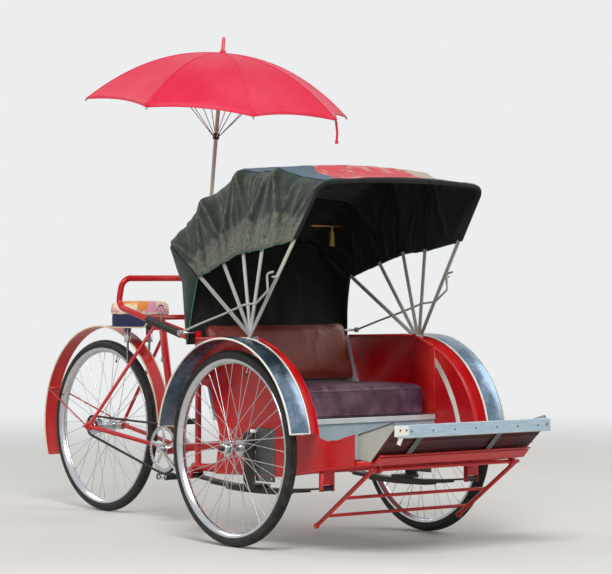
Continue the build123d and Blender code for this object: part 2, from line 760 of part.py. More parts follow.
# share of the rib, drop below the crown
rib_table = [(0.02, 0.0), (0.45, 38.0), (0.8, 128.0), (1.0, 216.0)]
with BuildPart() as umbrella_frame:
    with Locations(lean_plane):
        with Locations((0, 0, 7)):
            Cylinder(umbrella_pole_radius, pole_length + 55, align=(Align.CENTER, Align.CENTER, Align.MIN))
        with Locations((0, 0, pole_length - runner_drop)):
            Cylinder(14, 24)
        with Locations((0, 0, pole_length - 12)):
            Cylinder(16, 12)
    for number in range(8):
        turn = math.radians(number * 45 + 22.5)
        points = []
        for share, drop in rib_table:
            radius = umbrella_radius * share
            spot = Vector(radius * math.cos(turn), radius * math.sin(turn), pole_length - rib_seat - drop)
            points.append(lean_plane.from_local_coords(spot))
        for a, b in zip(points, points[1:]):
            bar(tuple(a), tuple(b), 2.0)
        far = points[1] + (points[2] - points[1]) * 0.15
        near = Vector(12 * math.cos(turn), 12 * math.sin(turn), pole_length - runner_drop)
        low = lean_plane.from_local_coords(near)
        bar(tuple(low), tuple(far), 1.8)
umbrella_frame.part.label = "umbrella_frame"
export_step(umbrella_frame.part, "parts/umbrella_frame.step")

cloth = 3.0
cloth_lift = 3.2


def canopy_solid(lift):
    rings = []
    for share, drop in reversed(rib_table):
        level = lean_plane.offset(pole_length - rib_seat - drop + lift)
        rings.append(level * RegularPolygon(umbrella_radius * max(share, 0.045), 8, rotation=22.5))
    return loft(rings, ruled=True)


canopy_outside = canopy_solid(cloth_lift + cloth)
canopy_inside = canopy_solid(cloth_lift)
with BuildPart() as umbrella_canopy:
    add(canopy_outside)
    add(canopy_inside, mode=Mode.SUBTRACT)
    with Locations(lean_plane):
        with Locations((0, 0, pole_length)):
            Cylinder(umbrella_pole_radius + 0.3, 60, mode=Mode.SUBTRACT)
            Cylinder(17, 30, align=(Align.CENTER, Align.CENTER, Align.MAX), mode=Mode.SUBTRACT)
umbrella_canopy.part.label = "umbrella_canopy"
export_step(umbrella_canopy.part, "parts/umbrella_canopy.step")

# Hood pivots
stay_y = bow_outer_y + 15.5
with BuildPart() as hood_pivots:
    for side in (1, -1):
        near, far = side * (body_half + 5.0), side * bow_pin_y
        bar((pivot_x, near, pivot_z), (pivot_x, far, pivot_z), pivot_pin_radius)
        bar((pivot_x, far - side * 0.5, pivot_z), (pivot_x, far + side * 3.5, pivot_z), 9.0)
        y = side * (body_half + 4.85)
        block((pivot_x - 14, y - 4.65, pivot_z - 60), (pivot_x + 14, y + 4.65, pivot_z - 4))
        y = side * (body_half + 7.15)
        block((pivot_x - 14, y - 2.35, pivot_z - 10), (pivot_x + 14, y + 2.35, pivot_z + 12))
        bar((upright_x, side * (rail_y + 12.2), 765), (upright_x, side * (stay_y - 5.0), 765), 5.0)
hood_pivots.part.label = "hood_pivots"
export_step(hood_pivots.part, "parts/hood_pivots.step")


# Hood bows, each a flat bar bent over the seat
def fan_plane(degrees):
    a = math.radians(degrees)
    return Plane(origin=(pivot_x, 0, pivot_z), x_dir=(0, 1, 0), z_dir=(math.cos(a), 0, -math.sin(a)))


def hoop_outline(half, reach, low, corner):
    top = half - reach * bow_lean
    side_low = half - low * bow_lean
    with BuildSketch(mode=Mode.PRIVATE) as outline:
        with BuildLine():
            Polyline((side_low, low), (top, reach))
            ThreePointArc((top, reach), (0, reach + bow_crown), (-top, reach))
            Polyline((-top, reach), (-side_low, low))
            Line((-side_low, low), (side_low, low))
        make_face()
        upper = outline.vertices().sort_by(Axis.Y)[-2:]
        fillet(upper, corner)
    return outline.sketch


def hoop_band(half, reach, low, thick, corner):
    outer = hoop_outline(half, reach, low, corner)
    inner = hoop_outline(half - thick, reach - thick, low - 5, corner - thick)
    return outer - inner


catch_reach = 275.0
for number, degrees, reach, hem in bow_table:
    half = bow_outer_y + bow_bar / 2 - (number - 1) * bow_pitch
    plane = fan_plane(degrees)
    band = plane * hoop_band(half, reach, 12.0, bow_bar, bow_corner)
    with BuildPart() as bow:
        add(extrude(band, bow_width / 2, both=True, mode=Mode.PRIVATE))
        for side in (1, -1):
            outer_y = side * half
            inner_y = side * (half - bow_bar)
            bar((pivot_x, inner_y, pivot_z), (pivot_x, outer_y, pivot_z), 13.0)
        pin_ends = [(pivot_x, y, pivot_z) for y in (-stay_y, stay_y)]
        bar(*pin_ends, pivot_pin_radius + running_gap, mode=Mode.SUBTRACT)
        if number == 1:
            a = math.radians(degrees)
            catch_x = pivot_x + catch_reach * math.sin(a)
            catch_z = pivot_z + catch_reach * math.cos(a)
            for side in (1, -1):
                near = side * (half - catch_reach * bow_lean - 2)
                bar((catch_x, near, catch_z), (catch_x, side * (bow_outer_y + 10.0), catch_z), 4.0)
    bow.part.label = "hood_bow_" + str(number)
    export_step(bow.part, "parts/hood_bow_" + str(number) + ".step")

# Canvas between neighbouring bows
edge = 0.06


def bay_solid(front, back, inset, shift):
    faces = []
    for row, turn in ((front, shift), (back, -shift)):
        number, degrees, reach, hem = row
        half = bow_outer_y + bow_bar / 2 - (number - 1) * bow_pitch + canvas_gap + canvas - inset
        top = reach + canvas_gap + canvas - inset
        low = hem - 5 if inset else hem
        plane = fan_plane(degrees + turn)
        faces.append(plane * hoop_outline(half, top, low, bow_corner + canvas - inset))
    return loft(faces, ruled=True)


for front, back in zip(bow_table, bow_table[1:]):
    outer = bay_solid(front, back, 0.0, -edge)
    inner = bay_solid(front, back, canvas, 0.0)
    with BuildPart() as bay:
        add(outer)
        add(inner, mode=Mode.SUBTRACT)
    bay.part.label = "hood_bay_" + str(front[0])
    export_step(bay.part, "parts/hood_bay_" + str(front[0]) + ".step")

# Rear curtain
last = bow_table[-1]
a = math.radians(last[1])
curtain_top = (pivot_x + (last[2] - 40) * math.sin(a) - 12, pivot_z + (last[2] - 40) * math.cos(a))
curtain_half = 331.0
with BuildPart() as hood_curtain:
    with BuildSketch(side_plane(curtain_half)):
        with BuildLine():
            bend = (axle_x - 425, 950)
            base = (upright_x + canvas / 2, back_cross_z + cross_radius + seat_gap)
            route = [curtain_top, bend, base]
            Polyline(*route, *[(x - canvas, z) for x, z in reversed(route)], close=True)
        make_face()
    extrude(amount=2 * curtain_half)
hood_curtain.part.label = "hood_curtain"
export_step(hood_curtain.part, "parts/hood_curtain.step")

# Hooked stays
stay_z = 765.0
for side, label in ((1, "left"), (-1, "right")):
    with BuildPart() as stay:
        with BuildLine() as stay_path:
            y = side * stay_y
            FilletPolyline(
                (upright_x, y, stay_z),
                (axle_x - 232, y, 804),
                (axle_x - 100, y, 838),
                (axle_x + 18, y, 872),
                (axle_x + 92, y, 879),
                (axle_x + 160, y, 925),
                (axle_x + 154, y, 985),
                (axle_x + 190, y, 992),
                radius=14,
            )
        with BuildSketch(Plane(origin=stay_path.line @ 0, z_dir=stay_path.line % 0)):
            Circle(4.0)
        sweep()
        bar((upright_x, y - 5, stay_z), (upright_x, y + 5, stay_z), 10.0)
        bar((upright_x, y - 7, stay_z), (upright_x, y + 7, stay_z), 5.0 + running_gap, mode=Mode.SUBTRACT)
    stay.part.label = label + "_hood_stay"
    export_step(stay.part, "parts/" + label + "_hood_stay.step")

# Prop stand
with BuildPart() as stand:
    bar((stand_x, -stand_y - 11, stand_z), (stand_x, stand_y + 11, stand_z), stand_pin_radius)
    for side in (1, -1):
        y = side * stand_y
        bar((stand_x, y, stand_z), (stand_foot_x, y, stand_foot_z), stand_radius)
        with Locations((stand_foot_x, y, stand_foot_z)):
            Sphere(foot_knob)
    for share in (0.5, 0.82):
        x = stand_x + (stand_foot_x - stand_x) * share
        z = stand_z + (stand_foot_z - stand_z) * share
        bar((x, -stand_y, z), (x, stand_y, z), 6.0)
stand.part.label = "stand"
export_step(stand.part, "parts/stand.step")
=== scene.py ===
import json
import math
from functools import partial

import bmesh
import bpy
from mathutils import Matrix, Vector, noise

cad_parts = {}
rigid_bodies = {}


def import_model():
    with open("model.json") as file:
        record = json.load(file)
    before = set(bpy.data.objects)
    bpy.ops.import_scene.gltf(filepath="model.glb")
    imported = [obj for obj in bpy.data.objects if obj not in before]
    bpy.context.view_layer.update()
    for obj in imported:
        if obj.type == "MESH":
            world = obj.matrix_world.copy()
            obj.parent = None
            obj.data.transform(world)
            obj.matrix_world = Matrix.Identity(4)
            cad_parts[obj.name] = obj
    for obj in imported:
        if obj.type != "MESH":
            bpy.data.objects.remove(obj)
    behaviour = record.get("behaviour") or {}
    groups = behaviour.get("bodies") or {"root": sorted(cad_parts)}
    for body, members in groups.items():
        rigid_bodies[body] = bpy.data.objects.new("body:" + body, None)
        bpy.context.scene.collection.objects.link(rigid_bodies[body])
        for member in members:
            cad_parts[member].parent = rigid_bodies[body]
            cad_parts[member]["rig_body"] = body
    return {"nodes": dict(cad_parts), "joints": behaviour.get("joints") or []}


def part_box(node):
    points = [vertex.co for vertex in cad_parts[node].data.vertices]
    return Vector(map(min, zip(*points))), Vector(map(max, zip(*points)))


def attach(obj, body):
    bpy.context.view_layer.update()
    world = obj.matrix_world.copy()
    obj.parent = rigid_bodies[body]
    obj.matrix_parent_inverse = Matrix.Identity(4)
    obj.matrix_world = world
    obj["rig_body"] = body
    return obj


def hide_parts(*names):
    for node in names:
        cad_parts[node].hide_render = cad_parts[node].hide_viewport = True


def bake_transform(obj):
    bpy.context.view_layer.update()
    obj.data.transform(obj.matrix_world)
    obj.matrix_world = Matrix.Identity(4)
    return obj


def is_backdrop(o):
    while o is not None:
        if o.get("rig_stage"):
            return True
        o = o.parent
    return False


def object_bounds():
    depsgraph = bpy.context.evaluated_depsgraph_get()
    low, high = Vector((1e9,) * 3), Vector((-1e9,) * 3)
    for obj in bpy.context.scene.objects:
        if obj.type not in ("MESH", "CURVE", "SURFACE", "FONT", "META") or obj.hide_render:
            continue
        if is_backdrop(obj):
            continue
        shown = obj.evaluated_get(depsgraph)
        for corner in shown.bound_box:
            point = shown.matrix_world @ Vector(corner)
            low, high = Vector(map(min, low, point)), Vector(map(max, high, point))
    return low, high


bl_info = {
    "name": "Cycle rickshaw finish",
    "version": (1, 0, 0),
    "blender": (4, 5, 0),
    "location": "View3D > Sidebar > Rickshaw",
    "description": "Dresses the frame of a cycle rickshaw with wheels, canvas, seats and paint",
    "category": "Object",
}

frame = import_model()
places = {joint["name"]: Vector(joint["pos_m"]) for joint in frame["joints"]}

# Places that the frame gives
front_axle = places["left_wheel_spin"]
rear_axle = places["rear_wheel_spin"]
hood_pin = places["hood_fold"]
crank_centre = places["crank_spin"]
stay_pin = places["left_stay_swing"]
wheel_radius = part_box("left_tyre")[1].z - front_axle.z
cad_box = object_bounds()


def linear(code):
    """A hex colour as three linear values."""
    found = []
    for start in (1, 3, 5):
        value = int(code[start:start + 2], 16) / 255
        found.append(value / 12.92 if value <= 0.04045 else ((value + 0.055) / 1.055) ** 2.4)
    return found


def colour(name, code, about):
    return bpy.props.FloatVectorProperty(
        name=name, description=about, subtype="COLOR", size=3, min=0.0, max=1.0, default=linear(code))


def length(name, metres, about):
    return bpy.props.FloatProperty(
        name=name, description=about, default=metres, min=0.0, soft_max=2.0, precision=4, subtype="DISTANCE",
        unit="LENGTH")


def number(name, value, about):
    return bpy.props.FloatProperty(name=name, description=about, default=value, min=0.0)


def count(name, value, about):
    return bpy.props.IntProperty(name=name, description=about, default=value, min=1)


class RickshawColours(bpy.types.PropertyGroup):
    enamel: colour("Enamel", "#BE0C14", "Red gloss enamel of the body and tubes")
    enamel_faded: colour("Faded enamel", "#CC2A26", "The same enamel where sun has bleached it")
    maroon: colour("Maroon", "#3C0B12", "Brushed maroon paint of the raked board")
    # The zinc colour's blue is a painted reflection of sky in the guards
    zinc: colour("Zinc", "#6B8299", "Galvanised sheet of the wheel guards")
    edge_white: colour("White edge", "#EFECE2", "White paint on rolled edges and lines")
    canvas: colour("Canvas", "#22302A", "Dark green hood canvas")
    canvas_light: colour("Worn canvas", "#4A5548", "Canvas where folds have rubbed it pale")
    # The ridge colour goes on the crests of the hood's folds: a painted highlight mixed with worn tan
    ridge: colour("Ridge", "#7D7A60", "Tan line where a fold's crest is worn through the proofing")
    hem: colour("Hem band", "#7E8273", "Sun-bleached band along the hem")
    binding: colour("Binding", "#3F6B58", "Thin green binding sewn on the hem")
    lining: colour("Lining", "#0D0E0D", "Black lining and front piping")
    cushion: colour("Cushion", "#472A3E", "Mauve vinyl of the seat cushion")
    backrest: colour("Backrest", "#7A2F25", "Brown-red vinyl of the backrest")
    saddle: colour("Saddle", "#1C2450", "Navy vinyl of the rider's saddle")
    piping: colour("Cream piping", "#E2D6B4", "Cream welt on the saddle skirt")
    nylon: colour("Umbrella nylon", "#D81B41", "Red-pink umbrella cloth")
    rubber: colour("Tyre rubber", "#151516", "Black tyre rubber")
    steel: colour("Bright steel", "#C6C8CA", "Plated rims and spokes")
    strip: colour("Alloy strip", "#A9C3D4", "Pale blue alloy strip on the board's edge")
    grey: colour("Grey paint", "#A3A59E", "Grey paint of the hood bows")
    floor: colour("Studio floor", "#D9D7D2", "Plain pale floor")


class RickshawWheels(bpy.types.PropertyGroup):
    spokes: count("Spokes", 36, "Spokes in each wheel")
    spoke_radius: length("Spoke radius", 0.0013, "Radius of one wire")
    tread_depth: length("Tread depth", 0.0014, "Depth of the running grooves")
    segments: count("Segments", 144, "Steps round each rim and tyre")
    hub_radius: length("Hub cup radius", 0.019, "Radius of the bright cups on the hub ends")


class RickshawHood(bpy.types.PropertyGroup):
    gap: length("Canvas gap", 0.0046, "From the bow's outer face to the middle of the canvas")
    cloth: length("Canvas thickness", 0.0016, "Thickness of canvas with its lining")
    sag: length("Sag", 0.01, "How far the canvas dips between two bows")
    crease: length("Crease", 0.012, "Height of the larger creases")
    hem_band: length("Hem band", 0.112, "Width of the bleached band along the hem")
    binding: length("Binding radius", 0.002, "Radius of the rolled binding")
    piping: length("Piping radius", 0.0105, "Radius of the black roll on the front bow")


class RickshawSeat(bpy.types.PropertyGroup):
    puff: length("Puff", 0.01, "How far the stuffing may push the cover out")
    voxel: length("Voxel", 0.0075, "Size of the cover's cells while it is simulated")
    pressure: number("Pressure", 4.0, "Stuffing pressure")


class RickshawUmbrella(bpy.types.PropertyGroup):
    panels: count("Panels", 8, "Sewn panels and ribs")
    radius: length("Rib length", 0.53, "From the pole to the tip of a rib, seen from above")
    drop: length("Drop", 0.216, "From the crown down to the rib tips")
    scallop: number("Scallop", 0.035, "How far the hem curves in between two tips, as a share of the radius")


class RickshawStage(bpy.types.PropertyGroup):
    lens: number("Lens", 152.0, "Focal length in millimetres")
    key: number("Key light", 330.0, "Power of the soft key light")
    fill: number("Fill light", 110.0, "Power of the soft fill light")
    sky: number("Sky", 0.42, "Strength of the even sky light")


groups = {
    "rickshaw_colours": RickshawColours,
    "rickshaw_wheels": RickshawWheels,
    "rickshaw_hood": RickshawHood,
    "rickshaw_seat": RickshawSeat,
    "rickshaw_umbrella": RickshawUmbrella,
    "rickshaw_stage": RickshawStage,
}


def tint(name):
    """A colour with its alpha, from its hex code or from the name of one of the user's colours."""
    if name.startswith("#"):
        return (*linear(name), 1.0)
    return (*getattr(bpy.context.scene.rickshaw_colours, name), 1.0)


def add_node(tree, kind, inputs=None, out=0, **settings):
    """Adds a node with its settings, values and links and returns its output; text as a value is a colour."""
    families = ("ShaderNode", "GeometryNode", "FunctionNode", "")
    node = tree.nodes.new(next(family + kind for family in families if hasattr(bpy.types, family + kind)))
    for name, value in settings.items():
        setattr(node, name, value)
    for name, value in (inputs or {}).items():
        if isinstance(value, bpy.types.NodeSocket):
            tree.links.new(value, node.inputs[name])
        else:
            node.inputs[name].default_value = tint(value) if isinstance(value, str) else value
    return node.outputs[out] if node.outputs else node


smooth = {"interpolation_type": "SMOOTHSTEP"}
mixed = {"out": 2, "data_type": "RGBA"}
product = {"operation": "MULTIPLY"}
product_and_sum = {"operation": "MULTIPLY_ADD"}


class Coat:
    """A material while it is made: its nodes, its shader and its object coordinates."""

    def __init__(self, name, **values):
        self.material = bpy.data.materials.new(name)
        self.material.use_nodes = True
        self.material.node_tree.nodes.clear()
        self.add = partial(add_node, self.material.node_tree)
        named = {key.replace("_", " ").title().replace("Ior", "IOR"): value for key, value in values.items()}
        self.shader = self.add("BsdfPrincipled", named).node
        self.end = self.add("OutputMaterial", {"Surface": self.shader.outputs[0]})
        self.place = self.add("TexCoord", out="Object")
        self.masks = []

    def cloud(self, scale, detail=4.0, rough=0.6, low=None, high=None, place=None):
        """A cloudy pattern, or with low and high a mask that rises from one to the other."""
        values = {"Vector": place or self.place, "Scale": scale, "Detail": detail, "Roughness": rough}
        pattern = self.add("TexNoise", values)
        return pattern if low is None else self.add("MapRange", {0: pattern, 1: low, 2: high}, **smooth)

    def layered(self, under, *layers):
        """Lays colours over one another, each where its cloud is strong.
        A layer is its colour, its strength, and its cloud's scale, detail, roughness, low and high."""
        for over, strength, *cloud in layers:
            mask = self.cloud(*cloud)
            if strength is not None:
                mask = self.add("Math", {0: mask, 1: strength}, **product)
            under = self.add("Mix", {0: mask, 6: under, 7: over}, **mixed)
            self.masks.append(mask)
        return under

    def done(self, paint, rough=None, height=None, strength=0.0, depth=0.0):
        """Gives the shader its colour, its roughness, straight or as (mask, at 0, at 1), and its relief."""
        found = {"Base Color": paint}
        if rough:
            straight = isinstance(rough, bpy.types.NodeSocket)
            found["Roughness"] = rough if straight else self.add("MapRange", dict(zip((0, 3, 4), rough)))
        if height:
            found["Normal"] = self.add("Bump", {"Height": height, "Strength": strength, "Distance": depth})
        for name, value in found.items():
            self.material.node_tree.links.new(value, self.shader.inputs[name])
        return self.material


def brushed_enamel(name, base, faded, under="#4B4642", wear=0.5, gloss=0.28, dust=0.5, coat=0.12):
    """Brush-painted enamel on steel: glossy, bleached in clouds, chipped to dull metal, dusty low down."""
    made = Coat(name, ior=1.46, coat_weight=coat, coat_roughness=0.1)
    height = made.add("SeparateXYZ", {0: made.place}, out=2)
    low = made.add("MapRange", {0: height, 1: 0.62, 2: 0.05}, **smooth)
    soiled = made.add("Math", {0: low, 1: dust}, **product)
    # Chips a few millimetres wide, gathered where a second, wider pattern allows them
    wide = made.cloud(9.0, 3.0, 0.6, 0.66 - 0.2 * wear, 0.8 - 0.2 * wear)
    paint = made.layered(
        base, (faded, None, 5.0, 4.0, 0.6, 0.42, 0.72), ("#5A4638", soiled, 23.0, 6.0, 0.7, 0.52, 0.74),
        (under, wide, 150.0, 5.0, 0.75, 0.62, 0.66))
    chips = made.masks[2]
    dull = made.add("MapRange", {0: made.masks[0], 3: gloss, 4: gloss + 0.16})
    dull = made.add("Math", {0: dull, 1: chips}, operation="ADD", use_clamp=True)
    level = made.add("Math", {0: made.cloud(420.0, 2.0), 1: chips}, operation="SUBTRACT")
    return made.done(paint, dull, level, 0.12, 0.0006)


def galvanised_sheet(name, base):
    """Hot-dipped zinc on sheet steel: spangles about 12 mm across, a painted reflection of sky in its blue
    tint and pale blue-grey clouds, dull streaks.
    """
    made = Coat(name, metallic=0.86)
    spangle = made.add("TexVoronoi", {"Vector": made.place, "Scale": 80.0}, out="Color")
    grey = made.add("MapRange", {0: made.add("RGBToBW", {0: spangle}), 1: 0.0, 2: 1.0, 3: 0.3, 4: 0.75})
    # Painted reflection: the spangles run between a dark blue and pale blue-grey clouds, which stand for sky
    # reflected in the zinc
    pale = made.layered(base, ("#A9BAC9", None, 14.0, 5.0, 0.6, 0.35, 0.7))
    dark = made.add("Mix", {0: 0.45, 6: base, 7: "#3E4E60"}, **mixed)
    sheet = made.add("Mix", {0: grey, 6: dark, 7: pale}, **mixed)
    sheet = made.layered(sheet, ("#6A4A34", None, 34.0, 6.0, 0.8, 0.66, 0.74))
    return made.done(sheet, (made.masks[0], 0.2, 0.38), made.cloud(9.0, 2.0), 0.25, 0.004)


def plated_steel(name, base, rough=0.2, dirt=0.4):
    """Nickel-plated steel wire and rims: bright, with dark grime in clouds and small rust freckles."""
    made = Coat(name, metallic=1.0)
    metal = made.layered(
        base, ("#5B5148", dirt, 26.0, 5.0, 0.7, 0.5, 0.8), ("#7A4A2C", None, 240.0, 4.0, 0.6, 0.68, 0.74))
    return made.done(metal, (made.masks[0], rough, rough + 0.4))


def oiled_steel(name, base):
    """Forged steel dark with old oil and road dust, as on springs and chain."""
    made = Coat(name, metallic=0.75)
    metal = made.layered(base, ("#4A3C30", None, 40.0, 6.0, 0.7, 0.45, 0.7))
    return made.done(metal, (made.masks[0], 0.35, 0.8), made.masks[0], 0.3, 0.0008)


def tyre_rubber(name, base):
    """Vulcanised black rubber: matt, with a fine grain and road dust in clouds."""
    made = Coat(name, ior=1.52, specular_ior_level=0.35)
    rubber = made.layered(base, ("#3B3733", None, 30.0, 5.0, 0.6, 0.4, 0.75))
    return made.done(rubber, (made.masks[0], 0.55, 0.85), made.cloud(500.0, 3.0), 0.3, 0.0006)


def woven_canvas(name, base, worn, hem=None):
    """Waterproofed cotton canvas: a plain weave drawn at 3 mm so that it shows, worn paler in clouds.
    With a hem colour, the band next to the hem is bleached in upright streaks, the folds' valleys get painted
    shade, and their crests a painted highlight mixed with worn tan."""
    made = Coat(name, ior=1.45, sheen_weight=0.15, specular_ior_level=0.3, roughness=0.78)
    cloth = made.add("UVMap", uv_map="cloth")
    shade = made.add("Mix", {0: 0.5, 6: base, 7: "#101512"}, **mixed)
    weave = made.layered(
        base, (worn, None, 13.0, 7.0, 0.68, 0.46, 0.74), (shade, None, 4.0, 4.0, 0.6, 0.45, 0.7))
    if hem is not None:
        across = made.add("SeparateXYZ", {0: cloth}, out=1)
        across = made.add("Math", {0: made.cloud(17.0, 6.0, 0.75), 1: -0.085, 2: across}, **product_and_sum)
        band = bpy.context.scene.rickshaw_hood.hem_band - 0.043
        edge = made.add("MapRange", {0: across, 1: band + 0.012, 2: band - 0.012}, **smooth)
        stretched = made.add("Mapping", {0: cloth, "Scale": (95.0, 62.0, 1.0)})
        weave = made.layered(weave, (hem, edge, 1.0, 6.0, 0.8, 0.3, 0.72, stretched))
        crest = made.add("Attribute", out="Fac", attribute_name="ridge")
        # Painted shade: the canvas darkens to near black in the valleys beside each fold, where the ridge
        # attribute is below nought
        valley = made.add("Math", {0: crest, 1: -1.0}, use_clamp=True, **product)
        weave = made.add("Mix", {0: valley, 6: weave, 7: "#10170F"}, **mixed)
        # Painted highlight: the crests take the ridge colour, broken up by a fine cloud
        highlight_breakup = made.cloud(60.0, 5.0, 0.7, 0.36, 0.6)
        crest = made.add("Math", {0: crest, 1: highlight_breakup}, use_clamp=True, **product)
        weave = made.add("Mix", {0: crest, 6: weave, 7: "ridge"}, **mixed)
    wave = {"Vector": cloth, "Scale": 105.0}
    warp, weft = [made.add("TexWave", wave, out="Fac", bands_direction=way) for way in "XY"]
    threads = made.add("Math", {0: warp, 1: weft}, **product)
    height = made.add("Math", {0: made.cloud(38.0, 6.0, 0.65), 1: 5.0, 2: threads}, **product_and_sum)
    return made.done(weave, None, height, 0.5, 0.0016)


def vinyl_cover(name, base, worn, stain=0.4):
    """Calendered vinyl over foam: pebbled grain about 2 mm across, soft shine, paler where it is sat on."""
    made = Coat(name, ior=1.45, coat_weight=0.04, coat_roughness=0.3)
    dark = made.add("Mix", {0: 0.55, 6: base, 7: "#1A1210"}, **mixed)
    cover = made.layered(
        base, (worn, None, 7.0, 5.0, 0.6, 0.42, 0.75), (dark, stain, 21.0, 6.0, 0.7, 0.58, 0.78))
    grain = made.add("TexVoronoi", {"Vector": made.place, "Scale": 480.0}, out="Distance")
    height = made.add("Math", {0: made.cloud(24.0), 1: 4.0, 2: grain}, **product_and_sum)
    return made.done(cover, (made.masks[0], 0.42, 0.6), height, 0.3, 0.001)


def ripstop_nylon(name, base):
    """Thin dyed umbrella nylon: unevenly faded, with a silky sheen and fine wrinkles."""
    made = Coat(name, ior=1.5, sheen_weight=0.08, sheen_roughness=0.4, roughness=0.55, specular_ior_level=0.3)
    pale = made.add("Mix", {0: 0.35, 6: base, 7: "#E8566C"}, **mixed)
    dyed = made.layered(base, (pale, None, 3.5, 3.0, 0.6, 0.4, 0.75))
    return made.done(dyed, None, made.cloud(60.0, 5.0), 0.15, 0.001)


def printed_cotton(name, first, second, third, patch=6.0):
    """Printed cotton: soft-edged patches of a few colours in a loose, generic pattern."""
    made = Coat(name, ior=1.45, sheen_weight=0.2, roughness=0.85)
    printed = made.layered(
        first, (second, None, patch, 2.0, 0.6, 0.47, 0.53), (third, None, patch * 2.3, 3.0, 0.6, 0.5, 0.56))
    return made.done(printed, None, made.cloud(130.0, 5.0), 0.4, 0.001)


def striped_cloth(name, blue, red, sand):
    """Old cotton roof cloth in three panels: blue-grey with woven ribs 9 mm apart, faded red, and sand."""
    made = Coat(name, ior=1.45, sheen_weight=0.1, roughness=0.85)
    across = made.add("SeparateXYZ", {0: made.place}, out=1)
    along = made.add("SeparateXYZ", {0: made.place})
    across = made.add("Math", {0: made.cloud(9.0), 1: 0.09, 2: across}, **product_and_sum)
    across = made.add("Math", {0: along, 1: 0.37, 2: across}, **product_and_sum)
    turned = made.add("Mapping", {0: made.place, "Rotation": (0.0, 0.0, 0.5)})
    ribs = made.add(
        "TexWave", {"Vector": turned, "Scale": 35.0, "Distortion": 0.6}, out="Fac", bands_direction="Y")
    cloth = made.add("Mix", {0: ribs, 6: blue, 7: "#31424E"}, **mixed)
    printed = made.layered(red, ("#C9857C", None, 11.0, 3.0, 0.6, 0.5, 0.6))
    for low, high, panel in ((0.095, 0.105, printed), (0.53, 0.56, sand)):
        here = made.add("MapRange", {0: across, 1: low, 2: high}, **smooth)
        cloth = made.add("Mix", {0: here, 6: cloth, 7: panel}, **mixed)
    cloth = made.layered(cloth, ("#3A3431", None, 55.0, 5.0, 0.7, 0.6, 0.68))
    return made.done(cloth, None, ribs, 0.35, 0.001)


def alloy_strip(name, base):
    """Extruded aluminium trim: fine scratches along its length, a chalky blue bloom."""
    made = Coat(name, metallic=0.7)
    along = made.add("Mapping", {0: made.place, "Scale": (90.0, 4.0, 90.0)})
    scratches = made.cloud(4.0, 6.0, 0.8, place=along)
    bloom = made.add("MapRange", {0: scratches, 1: 0.4, 2: 0.7}, **smooth)
    metal = made.add("Mix", {0: bloom, 6: base, 7: "#D5E2EA"}, **mixed)
    return made.done(metal, (scratches, 0.3, 0.55), scratches, 0.15, 0.0004)


metal, soot = "#4B4642", "#241A16"

# Each finish: its maker, the material's name, its colours, and then the maker's own values
finish_table = {
    "enamel": (brushed_enamel, "red gloss enamel on steel", "enamel", "enamel_faded"),
    "maroon": (brushed_enamel, "maroon paint on planks", "maroon", "#541419", soot, 0.9, 0.55, 0.8, 0.0),
    "grey": (brushed_enamel, "grey paint on flat bar", "grey", "#B4B0A4", metal, 0.8, 0.45, 0.3),
    "sheet": (brushed_enamel, "blue-grey paint on sheet steel", "#9FB0B8", "#B9C3C4", metal, 0.6, 0.4, 0.6),
    "pale": (brushed_enamel, "pale grey paint on sheet steel", "#D2D6D4", "#B9BFBD", metal, 0.5, 0.4, 0.4),
    "edge": (brushed_enamel, "dark grey paint on rolled edge", "#4A4D4B", "#6C6F6B", metal, 0.6, 0.4, 0.3),
    "pole": (brushed_enamel, "pale paint on pole", "#D8D2C6", "#C4B8A6", metal, 0.4, 0.35, 0.2),
    "ferrule": (brushed_enamel, "red lacquer on ferrule", "#D42238", "#E0485A", metal, 0.2, 0.3, 0.1),
    "white": (brushed_enamel, "white line paint", "edge_white", "#BDB7A6", metal, 0.7, 0.4, 0.5),
    "zinc": (galvanised_sheet, "galvanised sheet steel", "zinc"),
    "steel": (plated_steel, "nickel-plated steel", "steel"),
    "wire": (plated_steel, "plated spoke wire", "steel", 0.28, 0.2),
    "brass": (plated_steel, "worn brass", "#B98A4E", 0.3, 0.5),
    "dark": (oiled_steel, "oiled forged steel", "#3A3734"),
    "rubber": (tyre_rubber, "vulcanised tyre rubber", "rubber"),
    "canvas": (woven_canvas, "green waterproofed canvas", "canvas", "canvas_light", "hem"),
    "binding": (woven_canvas, "green woven binding", "binding", "#5F8A76"),
    "lining": (woven_canvas, "black cotton lining", "lining", "#1B1C1A"),
    "piping": (woven_canvas, "black canvas roll", "#0A0C0B", "#181D1A"),
    # The tape on the bows inside the hood is a painted shade in black; the brass bar's ties use it too
    "tape": (woven_canvas, "black cotton tape", "#0B0C0C", "#161716"),
    "tassel": (printed_cotton, "gold rayon tassel", "#A98A2E", "#8C6B1E", "#C7A84A", 60.0),
    "print": (printed_cotton, "printed cotton cover", "#E8933E", "#E6A0B4", "#F3E2C0"),
    "cushion": (vinyl_cover, "mauve calendered vinyl", "cushion", "#7C5A6C", 0.5),
    "backrest": (vinyl_cover, "brown-red calendered vinyl", "backrest", "#8F4A3C"),
    "saddle": (vinyl_cover, "navy calendered vinyl", "saddle", "#39406C", 0.3),
    "cream": (vinyl_cover, "cream vinyl welt", "piping", "#C9BC98", 0.3),
    "nylon": (ripstop_nylon, "red umbrella nylon", "nylon"),
    "roof": (striped_cloth, "sun-bleached roof cloth", "#56707F", "#C4424A", "#B5A797"),
    "strip": (alloy_strip, "extruded aluminium trim", "strip"),
}
finishes = {}


def finish(name):
    """The material of one finish, made when it is first asked for."""
    if name not in finishes:
        maker, *values = finish_table[name]
        finishes[name] = maker(*values)
    return finishes[name]


